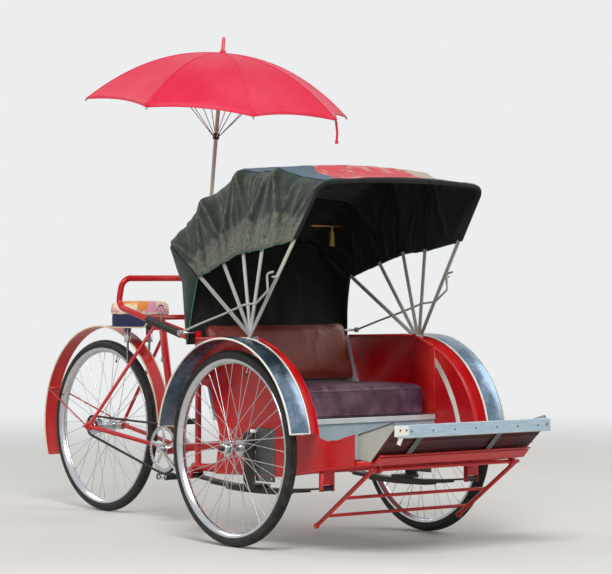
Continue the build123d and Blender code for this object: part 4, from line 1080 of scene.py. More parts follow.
class RICKSHAW_OT_hood(bpy.types.Operator):
    """Stretch the creased green canvas over the bows, with its hem, binding, lining and front roll"""
    bl_idname = "rickshaw.hood"
    bl_label = "Hood canvas"

    def execute(self, context):
        sizes = context.scene.rickshaw_hood
        for front, back in zip(hood_rows, hood_rows[1:]):
            self.bay(front, back, sizes)
        self.front_roll(sizes)
        self.tapes()
        self.curtain(sizes)
        return {"FINISHED"}

    def bay(self, front, back, sizes):
        """The canvas between two bows: a ruled surface that sags, with folds that hang from the corners."""
        first, second = [
            [fan_point(row[1], p.x, p.y) for p in bow_outline(row, sizes.gap)] for row in (front, back)]
        travelled = [0.0]
        for a, b in zip(first, first[1:]):
            travelled.append(travelled[-1] + (b - a).length)
        rows, columns, corner = 57, len(first), 22
        middle = columns // 2
        from_hems = [min(along, travelled[-1] - along) for along in travelled]
        verts, cloth, crests = [], [], []
        for part in [i / (rows - 1) for i in range(rows)]:
            degrees = front[1] + (back[1] - front[1]) * part
            loose = 4 * part * (1 - part)
            easy = 0.22 + 0.78 * loose
            for column, (along, from_hem) in enumerate(zip(travelled, from_hems)):
                base = first[column].lerp(second[column], part)
                side = -1 if column < middle else 1
                inward = Vector((hood_pin.x - base.x, -base.y * 1.6, hood_pin.z - base.z)).normalized()
                reach = math.hypot(base.x - hood_pin.x, base.z - hood_pin.z)
                ahead = math.radians(degrees) * 0.62
                fold, crest = crease_height((ahead, along), (9.0, 3.2), 4.7)
                side_fold, side_crest = crease_height((ahead + along * 0.35 * side, along), (13.0, 2.2), 9.7)
                top = min(1.0, max(0.0, (base.z - 1.18) / 0.12))
                dip = sizes.sag * loose * (1.0 + 0.4 * top)
                rise = sizes.crease * easy * (fold * 0.5 + side_fold * 0.6 * (1 - 0.6 * top))
                pull, pull_crest = pulled_folds(degrees, 1 - from_hem / from_hems[corner], reach, side)
                hem_wave = max(0.0, 1 - from_hem / 0.07)
                rise += pull * easy + 0.003 * hem_wave * loose * math.sin(along * 40 + degrees * 0.3)
                point = base + inward * (dip * 1.2 - max(rise, -0.4 * sizes.crease * loose))
                point += (hood_pin - base).normalized() * (-0.007 * loose * hem_wave)
                verts.append(point)
                cloth.append((ahead, from_hem))
                # The crests feed the ridge attribute: painted highlight on the folds' crests, painted shade
                # in their valleys
                crests.append(min(1.0, pull_crest + 0.55 * max(crest, side_crest) * loose))
        name = "hood_canvas_" + str(front[0])
        centre = Vector((hood_pin.x, 0, hood_pin.z + 0.1))
        piece = cloth_piece(
            name, verts, grid(rows, columns), cloth, ["canvas", "lining", "binding"], sizes.cloth,
            lambda spot: spot - centre, crests=crests)
        edge = Shape()
        for j in (0, columns - 1):
            tube(edge, verts[j::columns], sizes.binding, 6, 2)
        add_to(piece, edge)
        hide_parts("hood_bay_" + str(front[0]))
        bows = [str(back[0]), str(front[0])]
        start, end = [fan_point(degrees, 0, 0.34) for degrees in (back[1], front[1])]
        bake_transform(piece)
        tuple(start)
        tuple(end)
        if front[0] > 2:
            return
        # A sun-bleached cotton cloth lies along the roof of the two front bays
        points, beside = [], 27
        for centre_line in range(middle, rows * columns, columns):
            for base in verts[centre_line - beside:centre_line + beside + 1]:
                points.append(base + Vector((0, 0, 0.0032 + 0.0022 * noise.noise(base * 30.0))))
        flat = [(base.x, base.y) for base in points]
        roof = cloth_piece(
            "hood_roof_cloth_" + bows[1], points, grid(rows, 2 * beside + 1), flat, ["roof"], 0.001,
            lambda spot: spot - centre)
        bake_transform(roof)
        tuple(start)
        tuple(end)

    def front_roll(self, sizes):
        """The black roll round the front bow, thick over the seat's opening and thin down the sides."""
        degrees = hood_rows[0][1] + 0.75
        outer = [fan_point(degrees, p.x, p.y) for p in bow_outline(hood_rows[0], sizes.gap - 0.001, 0.44)]
        half = len(outer) // 2
        shares = [min(1.0, max(0.0, (half - abs(i - half)) / half * 2.2 - 0.9)) for i in range(len(outer))]
        shape = Shape()
        tube(shape, outer, [sizes.piping * (0.52 + 0.48 * part) for part in shares], 10)
        make_piece("hood_front_roll", shape, ["piping"], "bow_1", sharp=60)

    def tapes(self):
        """Black tape wound round each bow under the canvas, a painted shade that darkens the bows inside the
        hood, and a brass bar with a tassel on the fourth.
        """
        for row in hood_rows:
            turn = Vector((math.cos(math.radians(row[1])), 0, -math.sin(math.radians(row[1]))))
            rings = []
            for lift, way in ((0.0009, -1), (0.0009, 1), (-0.006, 1), (-0.006, -1)):
                line = bow_outline(row, lift, row[3] + 0.008)
                rings.append([fan_point(row[1], p.x, p.y) + turn * 0.0079 * way for p in line])
            shape = Shape()
            shape.add([point for station in zip(*rings) for point in station], capped(len(rings[0]), 4))
            make_piece("bow_shade_tape_" + str(row[0]), shape, ["tape"], "bow_" + str(row[0]), sharp=40)
        degrees, reach = hood_rows[3][1:3]
        bar = Shape()
        line = [fan_point(degrees, y, 0.52) for y in (0.12, 0.132, 0.2, 0.268, 0.28)]
        tube(bar, line, [0.003, 0.0075, 0.005, 0.0075, 0.003], 12)
        for y in (0.15, 0.25):
            tube(bar, [fan_point(degrees, y, 0.52), fan_point(degrees, y, reach + 0.006)], 0.0016, 6, 1)
        drop = fan_point(degrees, 0.222, 0.515)
        line = [drop - Vector((0, 0, down)) for down in (0.0, 0.012, 0.02, 0.075)]
        tube(bar, line, [0.003, 0.003, 0.0075, 0.011], 12, 2)
        make_piece("hood_brass_bar", bar, ["brass", "tape", "tassel"], "bow_4")

    def curtain(self, sizes):
        """The rear curtain, hung from the last bow to the cross tube behind the seat."""
        last = hood_rows[-1]
        half_low, half_top = 0.392, bow_half - 4 * bow_step - last[2] * bow_lean + 0.004
        foot = Vector((stay_pin.x - 0.0145, 0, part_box("hood_curtain")[0].z + 0.008))
        bend = Vector((front_axle.x - 0.432, 0, 0.95))
        peak = fan_point(last[1] - 1.1, 0, last[2] - 0.001)
        steps, columns, flap = 40, 61, 9
        leg = bow_outline(last, 0.0)[:26]
        leg_top = len(leg) - 1
        hem_part = 0.52
        verts, cloth = [], []
        for part in [i / steps for i in range(steps + 1)]:
            line = foot.lerp(bend, part / 0.45) if part < 0.45 else bend.lerp(peak, (part - 0.45) / 0.55)
            half = half_low + (half_top - half_low) * min(1.0, part * 1.1)
            under = max(0.0, bow_corner - (1 - part) * 0.55)
            half -= bow_corner - math.sqrt(bow_corner ** 2 - under ** 2)
            row = []
            for across in [2 * j / (columns - 1) - 1 for j in range(columns)]:
                arch = bow_crown * (1 - across ** 2) * part ** 3
                fold = crease_height((across * half, part * 0.6), (12.0, 2.0), 31.0)[0]
                hang = 0.009 * fold * math.sin(math.pi * min(1.0, part * 1.15)) - 0.004
                row.append(line + Vector((-hang, across * half, arch)))
            climb = max(0.0, (part - hem_part) / (1 - hem_part)) * leg_top
            below = leg[min(leg_top, int(climb))].lerp(leg[min(leg_top, int(climb) + 1)], climb % 1)
            grip = fan_point(last[1] - 0.9, 0, below.y) + sideways * abs(below.x)
            if part < hem_part:
                grip = row[-1] + (grip - bend - sideways * half) * (part / hem_part)
            for side in (-1, 1):
                edge = row[0] if side < 0 else row[-1]
                target = Vector((grip.x, side * abs(grip.y), grip.z))
                added = [edge.lerp(target, k / flap) for k in range(1, flap + 1)]
                for k, spot in enumerate(added):
                    spot.y += side * 0.01 * math.sin(math.pi * (k + 1) / flap) * math.sin(math.pi * part)
                row = added[::-1] + row if side < 0 else row + added
            verts.extend(row)
            cloth.extend([((j - flap) / columns * 2 * half, 0.25 + part * 0.6) for j in range(len(row))])
        columns += 2 * flap
        # The top edge is turned in between the last bow and the hood's own canvas
        turned = fan_point(last[1] - 0.2, 0, last[2] + 0.0022) - peak
        verts.extend([v + turned for v in verts[-columns:]])
        cloth.extend(cloth[-columns:])
        piece = cloth_piece(
            "hood_back_curtain", verts, grid(steps + 2, columns), cloth, ["canvas", "lining", "binding"],
            sizes.cloth, lambda spot: Vector((-1, 0, 0)))
        edge = Shape()
        for j in (0, columns - 1):
            tube(edge, verts[j::columns][:int(steps * hem_part) + 1], sizes.binding, 6, 2)
        add_to(piece, edge)
        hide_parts("hood_curtain")
        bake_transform(piece)


def stuffed(piece, sizes, keep_low=None):
    """Blows a closed cover up with stuffing: even cells, pressure, a cap on every move, one subdivision."""
    cells = piece.modifiers.new("cells", "REMESH")
    cells.mode = "VOXEL"
    cells.voxel_size = sizes.voxel
    bake(piece)
    start = [v.co.copy() for v in piece.data.vertices]
    cover = piece.modifiers.new("cover", "CLOTH")
    cover.settings.use_pressure = True
    cover.settings.uniform_pressure_force = sizes.pressure
    cover.settings.effector_weights.gravity = 0.0
    cover.settings.quality = 4
    for step in range(1, 21):
        bpy.context.scene.frame_set(step)
    bake(piece)
    bpy.context.scene.frame_set(1)
    for vertex, was in zip(piece.data.vertices, start):
        move = vertex.co - was
        if move.length > sizes.puff:
            move = move.normalized() * sizes.puff
        vertex.co = was + move
        if keep_low is not None:
            vertex.co.z = max(vertex.co.z, keep_low)
    finer = piece.modifiers.new("smooth", "SUBSURF")
    finer.levels = finer.render_levels = 1
    bake(piece)


def cover_block(low, high, crown):
    """A closed net on a block with rounded corners, crowned on top, as rings from the underside up."""
    shape = Shape()
    middle = (low + high) / 2
    half = (high - low) / 2
    verts = []
    around = 96
    levels = [(0.0, 0.55), (0.0, 0.97), (0.06, 1.0), (0.5, 1.0), (0.86, 1.0), (0.97, 0.985), (1.0, 0.955),
              (1.0, 0.8), (1.0, 0.6), (1.0, 0.35), (1.0, 0.12)]
    for level, wide in levels:
        z = low.z + (high.z - low.z) * level + (crown * (1 - wide ** 2) if level == 1.0 else 0.0)
        for angle in [math.tau * step / around for step in range(around)]:
            flat_x, flat_y = math.cos(angle), math.sin(angle)
            x, y = [math.copysign(abs(value) ** 0.16, value) * wide for value in (flat_x, flat_y)]
            verts.append(Vector((middle.x + x * half.x, middle.y + y * half.y, z)))
    shape.add(verts, capped(len(levels), around))
    return shape


def touch(piece, start, aim):
    """Where a line from start first meets a piece; past its edge the line moves in toward the middle."""
    middle = sum((Vector(corner) for corner in piece.bound_box), Vector()) / 8
    for step in range(40):
        aside = (middle - start) - aim * (middle - start).dot(aim)
        found = piece.ray_cast(start + aside * 0.02 * step, aim)
        if found[0]:
            return found[1]
    raise RuntimeError("a seam misses " + piece.name)


class RICKSHAW_OT_seat(bpy.types.Operator):
    """Stuff the seat cushion and the backrest, with welts, stitches and soft folds"""
    bl_idname = "rickshaw.seat"
    bl_label = "Seat"

    def execute(self, context):
        sizes = context.scene.rickshaw_seat
        self.cushion(sizes)
        self.backrest(sizes)
        return {"FINISHED"}

    def cushion(self, sizes):
        low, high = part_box("seat_cushion")
        slack = sizes.puff * 0.8
        high_inside = high - Vector((slack, slack, slack + 0.008))
        shape = cover_block(low + Vector((slack, slack, 0)), high_inside, 0.004)
        piece = make_piece("seat_cushion_cover", shape, ["cushion"], sharp=80)
        stuffed(piece, sizes, low.z)
        for vertex in piece.data.vertices:
            place = vertex.co
            front = max(0.0, (place.x - low.x) / (high.x - low.x))
            fold = crease_height((place.y + place.z * 0.5, place.x), (9.0, 5.0), 3.0)[0]
            share_up = min(1.0, max(0.0, (place.z - low.z) / 0.03))
            if front > 0.55:
                place.x += (fold - 0.4) * 0.0035 * share_up
            place.z += (fold - 0.4) * 0.0032 * share_up
            # The cover sinks a little where two people sit
            for seat_y in (-0.17, 0.17):
                near = Vector(((place.x - low.x) / 0.22 - 0.8, (place.y - seat_y) / 0.15)).length
                place.z -= 0.009 * math.exp(-near * near) * (1.0 if place.z > high.z - 0.045 else 0.0)
        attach(piece, "carriage")
        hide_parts("seat_cushion")
        seams, paths = Shape(), []
        for half, level in ((0.33, high.z - 0.03), (0.325, low.z + 0.012)):
            starts = [Vector((high.x + 0.0505, half * (i / 30 - 1), level)) for i in range(61)]
            paths.append([touch(piece, start, Vector((-1, 0, 0))) for start in starts])
            tube(seams, paths[-1], 0.0022, 6)
        make_piece("seat_cushion_welts", seams, ["cushion"], "carriage", sharp=80)
        threads = [p + Vector((0.0008, 0, -0.007)) for p in paths[0]]
        stitches("seat_cushion_stitches", [threads], "maroon", 0.01)

    def backrest(self, sizes):
        low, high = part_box("seat_back")
        tilt = math.radians(18.0)
        thick = 0.036
        up = Vector((-math.sin(tilt), 0, math.cos(tilt)))
        ahead = Vector((math.cos(tilt), 0, math.sin(tilt)))
        # The cover reaches 32 mm below the solid's foot, down behind the cushion
        tall = (high.z - low.z - thick * math.sin(tilt)) / math.cos(tilt) + 0.032
        foot = Vector((high.x - thick * math.cos(tilt), 0, low.z)) - up * 0.032
        slack = sizes.puff * 0.7
        flat_low = Vector((slack - tall, low.y + slack, 0.0))
        shape = cover_block(flat_low, Vector((-slack, high.y - slack, thick - slack)), 0.003)
        shape.verts = [foot + up * -v.x + sideways * v.y + ahead * v.z for v in shape.verts]
        piece = make_piece("seat_back_cover", shape, ["backrest"], sharp=80)
        stuffed(piece, sizes)
        for vertex in piece.data.vertices:
            place = vertex.co
            depth = (place - foot).dot(ahead)
            fold = crease_height((place.y, place.z), (7.0, 4.0), 11.0)[0]
            vertex.co += ahead * (0.001 - depth if depth < 0.001 else (fold - 0.4) * 0.0022)
        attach(piece, "carriage")
        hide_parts("seat_back")
        # A wide welt frames the face; the stitches run just inside it
        ring = [(-0.322, 0.02), (0.322, 0.02), (0.322, tall - 0.02), (-0.322, tall - 0.02)]
        path = []
        for first, second in zip(ring, ring[1:] + ring[:1]):
            for i in range(24):
                y, z = Vector(first).lerp(Vector(second), i / 24)
                path.append(touch(piece, foot + up * z + sideways * y + ahead * 0.1, -ahead))
        seam = Shape()
        tube(seam, path, 0.0018, 6, closed=True)
        make_piece("seat_back_welt", seam, ["backrest"], "carriage", sharp=80)
        centre = foot + up * (tall / 2) + ahead * 0.03
        inner = [touch(piece, p.lerp(centre, 0.02) + ahead * 0.05, -ahead) for p in path]
        stitches("seat_back_stitches", [inner + inner[:1]], "maroon", 0.011)


def beside_axle(x, y, z):
    """A point this far ahead of the front axle, at this place across and this height."""
    return Vector((front_axle.x + x, y, z))


class RICKSHAW_OT_body_trim(bpy.types.Operator):
    """Add the stripes, edge rolls, straps, alloy strip, rivets and plates of the body"""
    bl_idname = "rickshaw.body_trim"
    bl_label = "Body trim"

    def execute(self, context):
        self.arch_stripes()
        self.board()
        self.sills()
        self.axle_plates()
        return {"FINISHED"}

    def arch_stripes(self):
        """A brushed white line on each face of the arch panels, and a row of rivets along their top."""
        lines = Shape()
        middle = Vector((front_axle.x, 0, front_axle.z))
        for side in (1, -1):
            for face, lift in ((panel_face - 0.0032, -0.0004), (panel_face + 0.0002, 0.0004)):
                verts = []
                for degrees in [66.0 - 55.0 * i / 40 for i in range(41)]:
                    for out in (0.286, 0.309):
                        wobble = 0.0012 * noise.noise(Vector((degrees * 0.09, out * 40, side)))
                        reach = out + wobble + 0.05 * max(0.0, (degrees - 11.0) / 55.0) ** 2.4
                        verts.append(round_y(middle, reach, degrees, side * face))
                raised = [v + sideways * side * lift for v in verts]
                near, total = grid(41, 2), len(verts)
                far = [tuple(total + i for i in ring) for ring in near]
                walls = [(k, k + 2, total + k + 2, total + k) for k in range(total - 2)]
                ends = [(k, k + 1, total + k + 1, total + k) for k in (0, total - 2)]
                lines.add(verts + raised, near + far + walls + ends)
        make_piece("arch_stripes", lines, ["white"], "carriage")
        for label, side in (("left", 1), ("right", -1)):
            y = side * (panel_face - 0.0005)
            row = [beside_axle(0.36 * i / 8 - 0.33, y, 0.716 + 0.0011 * i) for i in range(9)]
            studs(label + "_panel_rivets", row, 0.06, 0.0042, (0.0, float(side), 0.0), "enamel", 0.6)

    def board(self):
        """Pale alloy strip with dark nail heads, two straps, corner bracket, far bolt and red foot."""
        low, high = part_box("foot_strip")
        front, near, far, top = high.x, low.y, high.y, high.z
        strip = Shape()
        wide = far - near
        slab(strip, (front - 0.0015, 0, (low.z + top) / 2), (0.003, wide, top - low.z), bevel=0.0008)
        middle = (front + low.x) / 2 - 0.001
        slab(strip, (middle, 0, top - 0.0015), (front - low.x, wide, 0.003), bevel=0.0008)
        across = (0, wide - 0.004, 0)
        rod(strip, (front - 0.0022, near + 0.002, top - 0.0022), across, 0.0028)
        rod(strip, (front - 0.0012, near + 0.002, low.z + 0.001), across, 0.0017, 8, 1)
        make_piece("edge_strip", strip, ["strip", "grey"], "carriage", ["foot_strip"])
        nails = [Vector((front + 0.0002, (i - 3) * 0.1, low.z + 0.022)) for i in range(7)]
        studs("edge_strip_nails", nails, 0.1, 0.0034, (1.0, 0.0, 0.0), "dark", 0.45)
        knee = beside_axle(0.64, 0, 0.335)
        tip = beside_axle(0.772, 0, 0.462)
        rake = (tip - knee).normalized()
        out = Vector((rake.z, 0, -rake.x))
        # The board is 12 mm thick, and the fittings lie on its outer face
        knee += out * 0.012
        tip += out * 0.012
        bits = Shape()
        for y in (-0.225, 0.149):
            lift = sideways * y + out * 0.0012
            plate_between(bits, knee + lift + rake * 0.006, tip + lift, sideways, 0.026, 0.0022)
            for along in (0.03, 0.15):
                rod(bits, knee + rake * along + sideways * y + out * 0.002, out * 0.0026, 0.0035, 8, 1)
        # The corner bracket folds round the near end of the strip, the bolt holds the far end
        slab(bits, (front - 0.0002, near + 0.024, top - 0.018), (0.0022, 0.05, 0.034), slot=2)
        slab(bits, (front - 0.009, near + 0.0006, top - 0.02), (0.018, 0.0024, 0.038), slot=2)
        plate_between(bits, Vector((front - 0.001, near + 0.02, top - 0.034)),
                      Vector((front - 0.004, near + 0.006, top - 0.066)), sideways, 0.018, 0.0022, 2)
        for y in (near + 0.01, near + 0.038):
            rod(bits, (front - 0.001, y, top - 0.017), (0.0032, 0, 0), 0.0036, 8, 1)
        rod(bits, (front - 0.018, far - 0.018, top - 0.02), (0.021, 0, 0), 0.0052, 6, 3)
        rod(bits, (front - 0.001, far - 0.018, top - 0.02), (0.0018, 0, 0), 0.0085, 14, 3)
        make_piece("board_straps", bits, ["edge", "dark", "white", "steel"], "carriage")
        foot = Shape()
        for lift, deep in ((0.021, 0.042), (0.05, 0.007)):
            centre = knee + rake * lift + out * 0.0035
            slab(foot, centre, (deep, 0.714, 0.007), (rake, sideways, out), 0, 0.002)
        make_piece("board_foot_rail", foot, ["enamel"], "carriage")
        planks = Shape()
        for along in (0.078, 0.118):
            rod(planks, knee + rake * along + sideways * -0.352 + out * 0.0004, (0, 0.704, 0), 0.0016, 6)
        make_piece("board_plank_edges", planks, ["maroon"], "carriage")

    def sills(self):
        """Red sill edge that scoops up to the cheek, pale strip under the cushion, rolled cheek edges."""
        lip = Shape()
        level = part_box("seat_cushion")[0].z - 0.008
        slab(lip, (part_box("seat_box")[1].x + 0.0035, 0, level), (0.006, 0.73, 0.02), bevel=0.002)
        make_piece("seat_front_lip", lip, ["pale"], "carriage")
        edge, cheeks = Shape(), Shape()
        scoop = ((0.44, 0.3975), (0.48, 0.4), (0.513, 0.4095), (0.545, 0.418), (0.5715, 0.4245))
        sill = ((-0.223, 0.2505), (-0.02, 0.256), (0.198, 0.2625), (0.5715, 0.3225))
        cheek = ((0.574, 0.3425), (0.64, 0.3365), (0.772, 0.4625), (0.76, 0.4765), (0.574, 0.4265))
        cheek_top = ((0.576, 0.4262), (0.76, 0.4757), (0.77, 0.4625))
        for side in (1, -1):
            tube(edge, [beside_axle(x, side * 0.3735, z) for x, z in scoop], 0.0042)
            tube(edge, [beside_axle(x, side * 0.3735, z) for x, z in sill], 0.0045)
            top, foot = [beside_axle(0.1435, side * 0.3695, z) for z in (0.705, 0.47)]
            plate_between(edge, top, foot, Vector((1, 0, 0)), 0.03, 0.004)
            sheet = [beside_axle(x, side * y, z) for y in (0.3592, 0.358) for x, z in cheek]
            cheeks.add(sheet, capped(2, len(cheek)))
            tube(cheeks, [beside_axle(x, side * 0.3585, z) for x, z in cheek_top], 0.0032, 8, 1)
        make_piece("sill_edges", edge, ["enamel"], "carriage")
        make_piece("cheek_plates", cheeks, ["grey", "edge"], "carriage")

    def axle_plates(self):
        """A grey bolted plate on each side panel, behind the wheel, and U-bolts over the leaf springs."""
        plates, clips = Shape(), Shape()
        low, high = 0.235, 0.428
        left_half = [(-0.026, -0.04), (-0.026, 0.004), (-0.02, 0.014)]
        bend = left_half + [(-y, z) for y, z in reversed(left_half)]
        for side in (1, -1):
            centre = beside_axle(0.075, side * (panel_face + 0.0005), (low + high) / 2)
            slab(plates, centre, (0.11, 0.0045, high - low))
            for x in (0.032, 0.118):
                for z in (low + 0.012, high - 0.012):
                    bolt = beside_axle(x, side * (panel_face + 0.002), z)
                    rod(plates, bolt, (0, side * 0.0045, 0), 0.0052, 6, 1)
            for x in (-0.02, 0.02):
                tube(clips, [beside_axle(x, side * 0.3 + y, front_axle.z + z) for y, z in bend], 0.0034)
        make_piece("axle_plates", plates, ["edge", "steel"], "carriage")
        make_piece("spring_clips", clips, ["dark"], "carriage")


class RICKSHAW_OT_saddle(bpy.types.Operator):
    """Build the rider's padded saddle with its skirt, cream welt and laid cotton cover"""
    bl_idname = "rickshaw.saddle"
    bl_label = "Saddle"

    def outline(self, low, high, steps):
        """The saddle's plan, nose to tail and back: a smooth curve through shares of its length and width."""
        half = [
            (0.0, 0.0), (0.01, 0.13), (0.03, 0.21), (0.08, 0.27), (0.2, 0.35), (0.34, 0.44), (0.46, 0.55),
            (0.58, 0.72), (0.68, 0.88), (0.76, 0.97), (0.83, 1.0), (0.89, 0.94), (0.94, 0.78), (0.98, 0.48),
            (1.0, 0.0),
        ]
        points = [Vector((high.x + (low.x - high.x) * a, high.y * b, 0)) for a, b in half]
        points += [Vector((p.x, -p.y, 0)) for p in reversed(points[1:-1])]
        curve = bpy.data.curves.new("saddle_plan", "CURVE")
        curve.dimensions = "3D"
        line = curve.splines.new("NURBS")
        line.points.add(len(points) - 1)
        for point, place in zip(line.points, points):
            point.co = (*place, 1.0)
        line.use_cyclic_u = True
        line.order_u = 3
        carrier = placed("saddle_plan", curve)
        mesh = bpy.data.meshes.new_from_object(carrier.evaluated_get(bpy.context.evaluated_depsgraph_get()))
        found = [v.co.copy() for v in mesh.vertices]
        bpy.data.objects.remove(carrier)
        bpy.data.meshes.remove(mesh)
        step = len(found) / steps
        return [found[int(i * step)] for i in range(steps)]

    def execute(self, context):
        low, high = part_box("saddle")
        plan = self.outline(low, high, 96)
        centre = Vector((low.x + (high.x - low.x) * 0.32, 0, 0))
        top, seam, skirt = high.z, low.z + 0.06, low.z

        def ring(grow, rise, drop_front=None):
            """The plan at a size and height; the skirt is drawn up at the nose, to drop_front."""
            found = []
            for p in plan:
                spot = centre + (p - centre) * grow
                share_back = min(1.0, max(0.0, (high.x - 0.04 - p.x) / 0.04))
                z = rise if drop_front is None else drop_front + (rise - drop_front) * share_back
                found.append(Vector((spot.x, spot.y, z)))
            return found

        rings = [
            ring(0.9, skirt + 0.002, seam - 0.012), ring(0.965, skirt, seam - 0.014),
            ring(0.985, skirt + 0.004, seam - 0.01), ring(0.99, seam - 0.016), ring(0.975, seam),
            ring(0.985, seam + 0.01), ring(0.975, seam + 0.022), ring(0.94, top - 0.01),
            ring(0.86, top - 0.0025), ring(0.72, top), ring(0.5, top - 0.003), ring(0.25, top - 0.006),
            ring(0.08, top - 0.007),
        ]
        verts = [v for row in rings for v in row]
        for v in verts:
            fold = crease_height((v.y, v.x), (14.0, 9.0), 17.0)[0]
            v.z = min(top, v.z + (fold - 0.5) * 0.003 * (1 if v.z > seam else 0))
        pad = Shape()
        pad.add(verts, capped(len(rings), len(plan)))
        piece = make_piece("saddle_cover", pad, ["saddle"], "bicycle", ["saddle"], 70)
        welts = Shape()
        tube(welts, ring(0.992, seam), 0.0034, closed=True)
        tube(welts, ring(0.975, skirt + 0.002, seam - 0.012), 0.003, closed=True)
        make_piece("saddle_welts", welts, ["cream"], "bicycle", sharp=70)
        # A cotton cover is laid over the saddle, its edge hanging in shallow waves
        rows = [(0.05, 0.0005), (0.3, 0.0012), (0.55, 0.0035), (0.72, 0.006), (0.87, 0.0035),
                (0.955, -0.0035), (1.0, -0.014), (1.012, -0.028), (1.014, -0.042)]
        verts = []
        for step, (grow, rise) in enumerate(rows):
            hem = max(0, step - 5) / 3
            for i, p in enumerate(plan):
                wave = math.sin(i * 0.9) * 0.003 * hem
                wave += noise.noise(Vector((p.x * 20, p.y * 20, step * 0.3))) * 0.0018
                spot = centre + (p - centre) * (grow + wave * 3)
                verts.append(Vector((spot.x, spot.y, top + rise + 0.006 * math.sin(i * 0.45) * hem)))
        faces = grid(len(rows), len(plan), around=True) + [tuple(range(len(plan)))]
        flat = [(v.x, v.y) for v in verts]
        sheet = cloth_piece(
            "saddle_cloth", verts, faces, flat, ["print"], 0.0012, None, 80, True)
        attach(sheet, "bicycle")
        return {"FINISHED"}


class RICKSHAW_OT_drive(bpy.types.Operator):
    """Lay the roller chain and build the chain wheel, cranks and pedals"""
    bl_idname = "rickshaw.drive"
    bl_label = "Drive"

    def execute(self, context):
        big, small, pitch = 0.098, 0.041, 0.0127
        across, up = crank_centre.x - rear_axle.x, crank_centre.z - rear_axle.z
        tilt = math.degrees(math.atan2(up, across))
        swing = math.degrees(math.asin((big - small) / math.hypot(across, up)))
        path = []
        for middle, radius, first, last in (
            (crank_centre, big, 90 + tilt + swing, tilt - swing - 90),
            (rear_axle, small, tilt - swing - 90, tilt + swing - 270),
        ):
            on_line = Vector((middle.x, chain_line(), middle.z))
            path += [round_y(on_line, radius, first + (last - first) * i / 32) for i in range(33)]
        length_round = sum((b - a).length for a, b in zip(path, path[1:] + path[:1]))
        values = {"Links": 2 * round(length_round / pitch / 2), "Plate": 0.0044, "Pitch": pitch}
        values["Material"] = finish("dark")
        piece = grown("chain_links", chain_tree, values, "bicycle", line_mesh([path], closed=True))
        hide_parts("chain")
        self.crankset()
        self.pedals()
        return {"FINISHED"}

    def crankset(self):
        """The chain wheel on its five arms, the spindle and the two cranks."""
        shape = Shape()

        def boss(centre, half, radius, sides):
            rod(shape, centre - sideways * half, sideways * 2 * half, radius, sides)

        centre = Vector((crank_centre.x, chain_line(), crank_centre.z))
        toothed_disc(shape, centre, 0.0885, 0.0945, 46, 0.003, 0.077)
        for i in range(5):
            angle = math.tau * i / 5 + 0.3
            out = Vector((math.cos(angle), 0, math.sin(angle)))
            plate_between(
                shape, centre + out * 0.012, centre + out * 0.08, Vector((-out.z, 0, out.x)), 0.016, 0.0028)
            boss(centre + out * 0.079, 0.003, 0.0045, 8)
        boss(centre, 0.004, 0.022, 20)
        boss(Vector((crank_centre.x, 0, crank_centre.z)), 0.086, 0.0085, 16)
        for side, turn in ((1, 145.0), (-1, -35.0)):
            near = Vector((crank_centre.x, side * 0.08, crank_centre.z))
            far = round_y(near, 0.17, turn)
            spots = [near.lerp(far, t) for t in (-0.05, 0.0, 0.12, 0.5, 0.9, 1.0, 1.05)]
            tube(shape, spots, [0.008, 0.0125, 0.0095, 0.008, 0.0088, 0.011, 0.007], 12, flat=0.8)
            boss(near, 0.009, 0.0145, 20)
            boss(far, 0.007, 0.0115, 18)
            rod(shape, far, (0, side * 0.098, 0), 0.0048, 10)
        make_piece("crank_and_ring", shape, ["steel"], "crank", ["crankset"])

    def pedals(self):
        for name in ("left", "right"):
            low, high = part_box(name + "_pedal")
            middle = (low + high) / 2
            shape = Shape()
            wide = high.y - low.y - 0.002
            for x in (-0.026, 0.026):
                slab(shape, middle + Vector((x, 0, 0)), (0.0125, wide, 0.022), slot=1, bevel=0.003)
                for k in range(7):
                    rib = middle + Vector((x, (k - 3) * wide / 7.5, 0))
                    slab(shape, rib, (0.0138, 0.006, 0.0236), slot=1)
            rod(shape, middle - sideways * wide / 2, (0, wide, 0), 0.0095, 14)
            for y in (-wide / 2 + 0.002, wide / 2 - 0.002):
                slab(shape, middle + sideways * y, (0.064, 0.003, 0.014))
            make_piece(
                name + "_pedal_block", shape, ["steel", "rubber"], "pedal_" + name, [name + "_pedal"])


# The umbrella's pole stands on the chassis behind the seat and leans ahead
pole_lean = math.radians(7.5)
pole_up = Vector((math.sin(pole_lean), 0, math.cos(pole_lean)))
pole_foot = beside_axle(-0.814, 0, 0.8)
pole_tall = (1.854 - 0.8) / math.cos(pole_lean)
first_rib = math.radians(22.5)


def round_pole(radius, angle, level):
    """A point at this distance and angle from the umbrella's pole, this far up it."""
    ahead = Vector((math.cos(pole_lean), 0, -math.sin(pole_lean)))
    aside = sideways * radius * math.sin(angle)
    return pole_foot + pole_up * level + ahead * (radius * math.cos(angle)) + aside


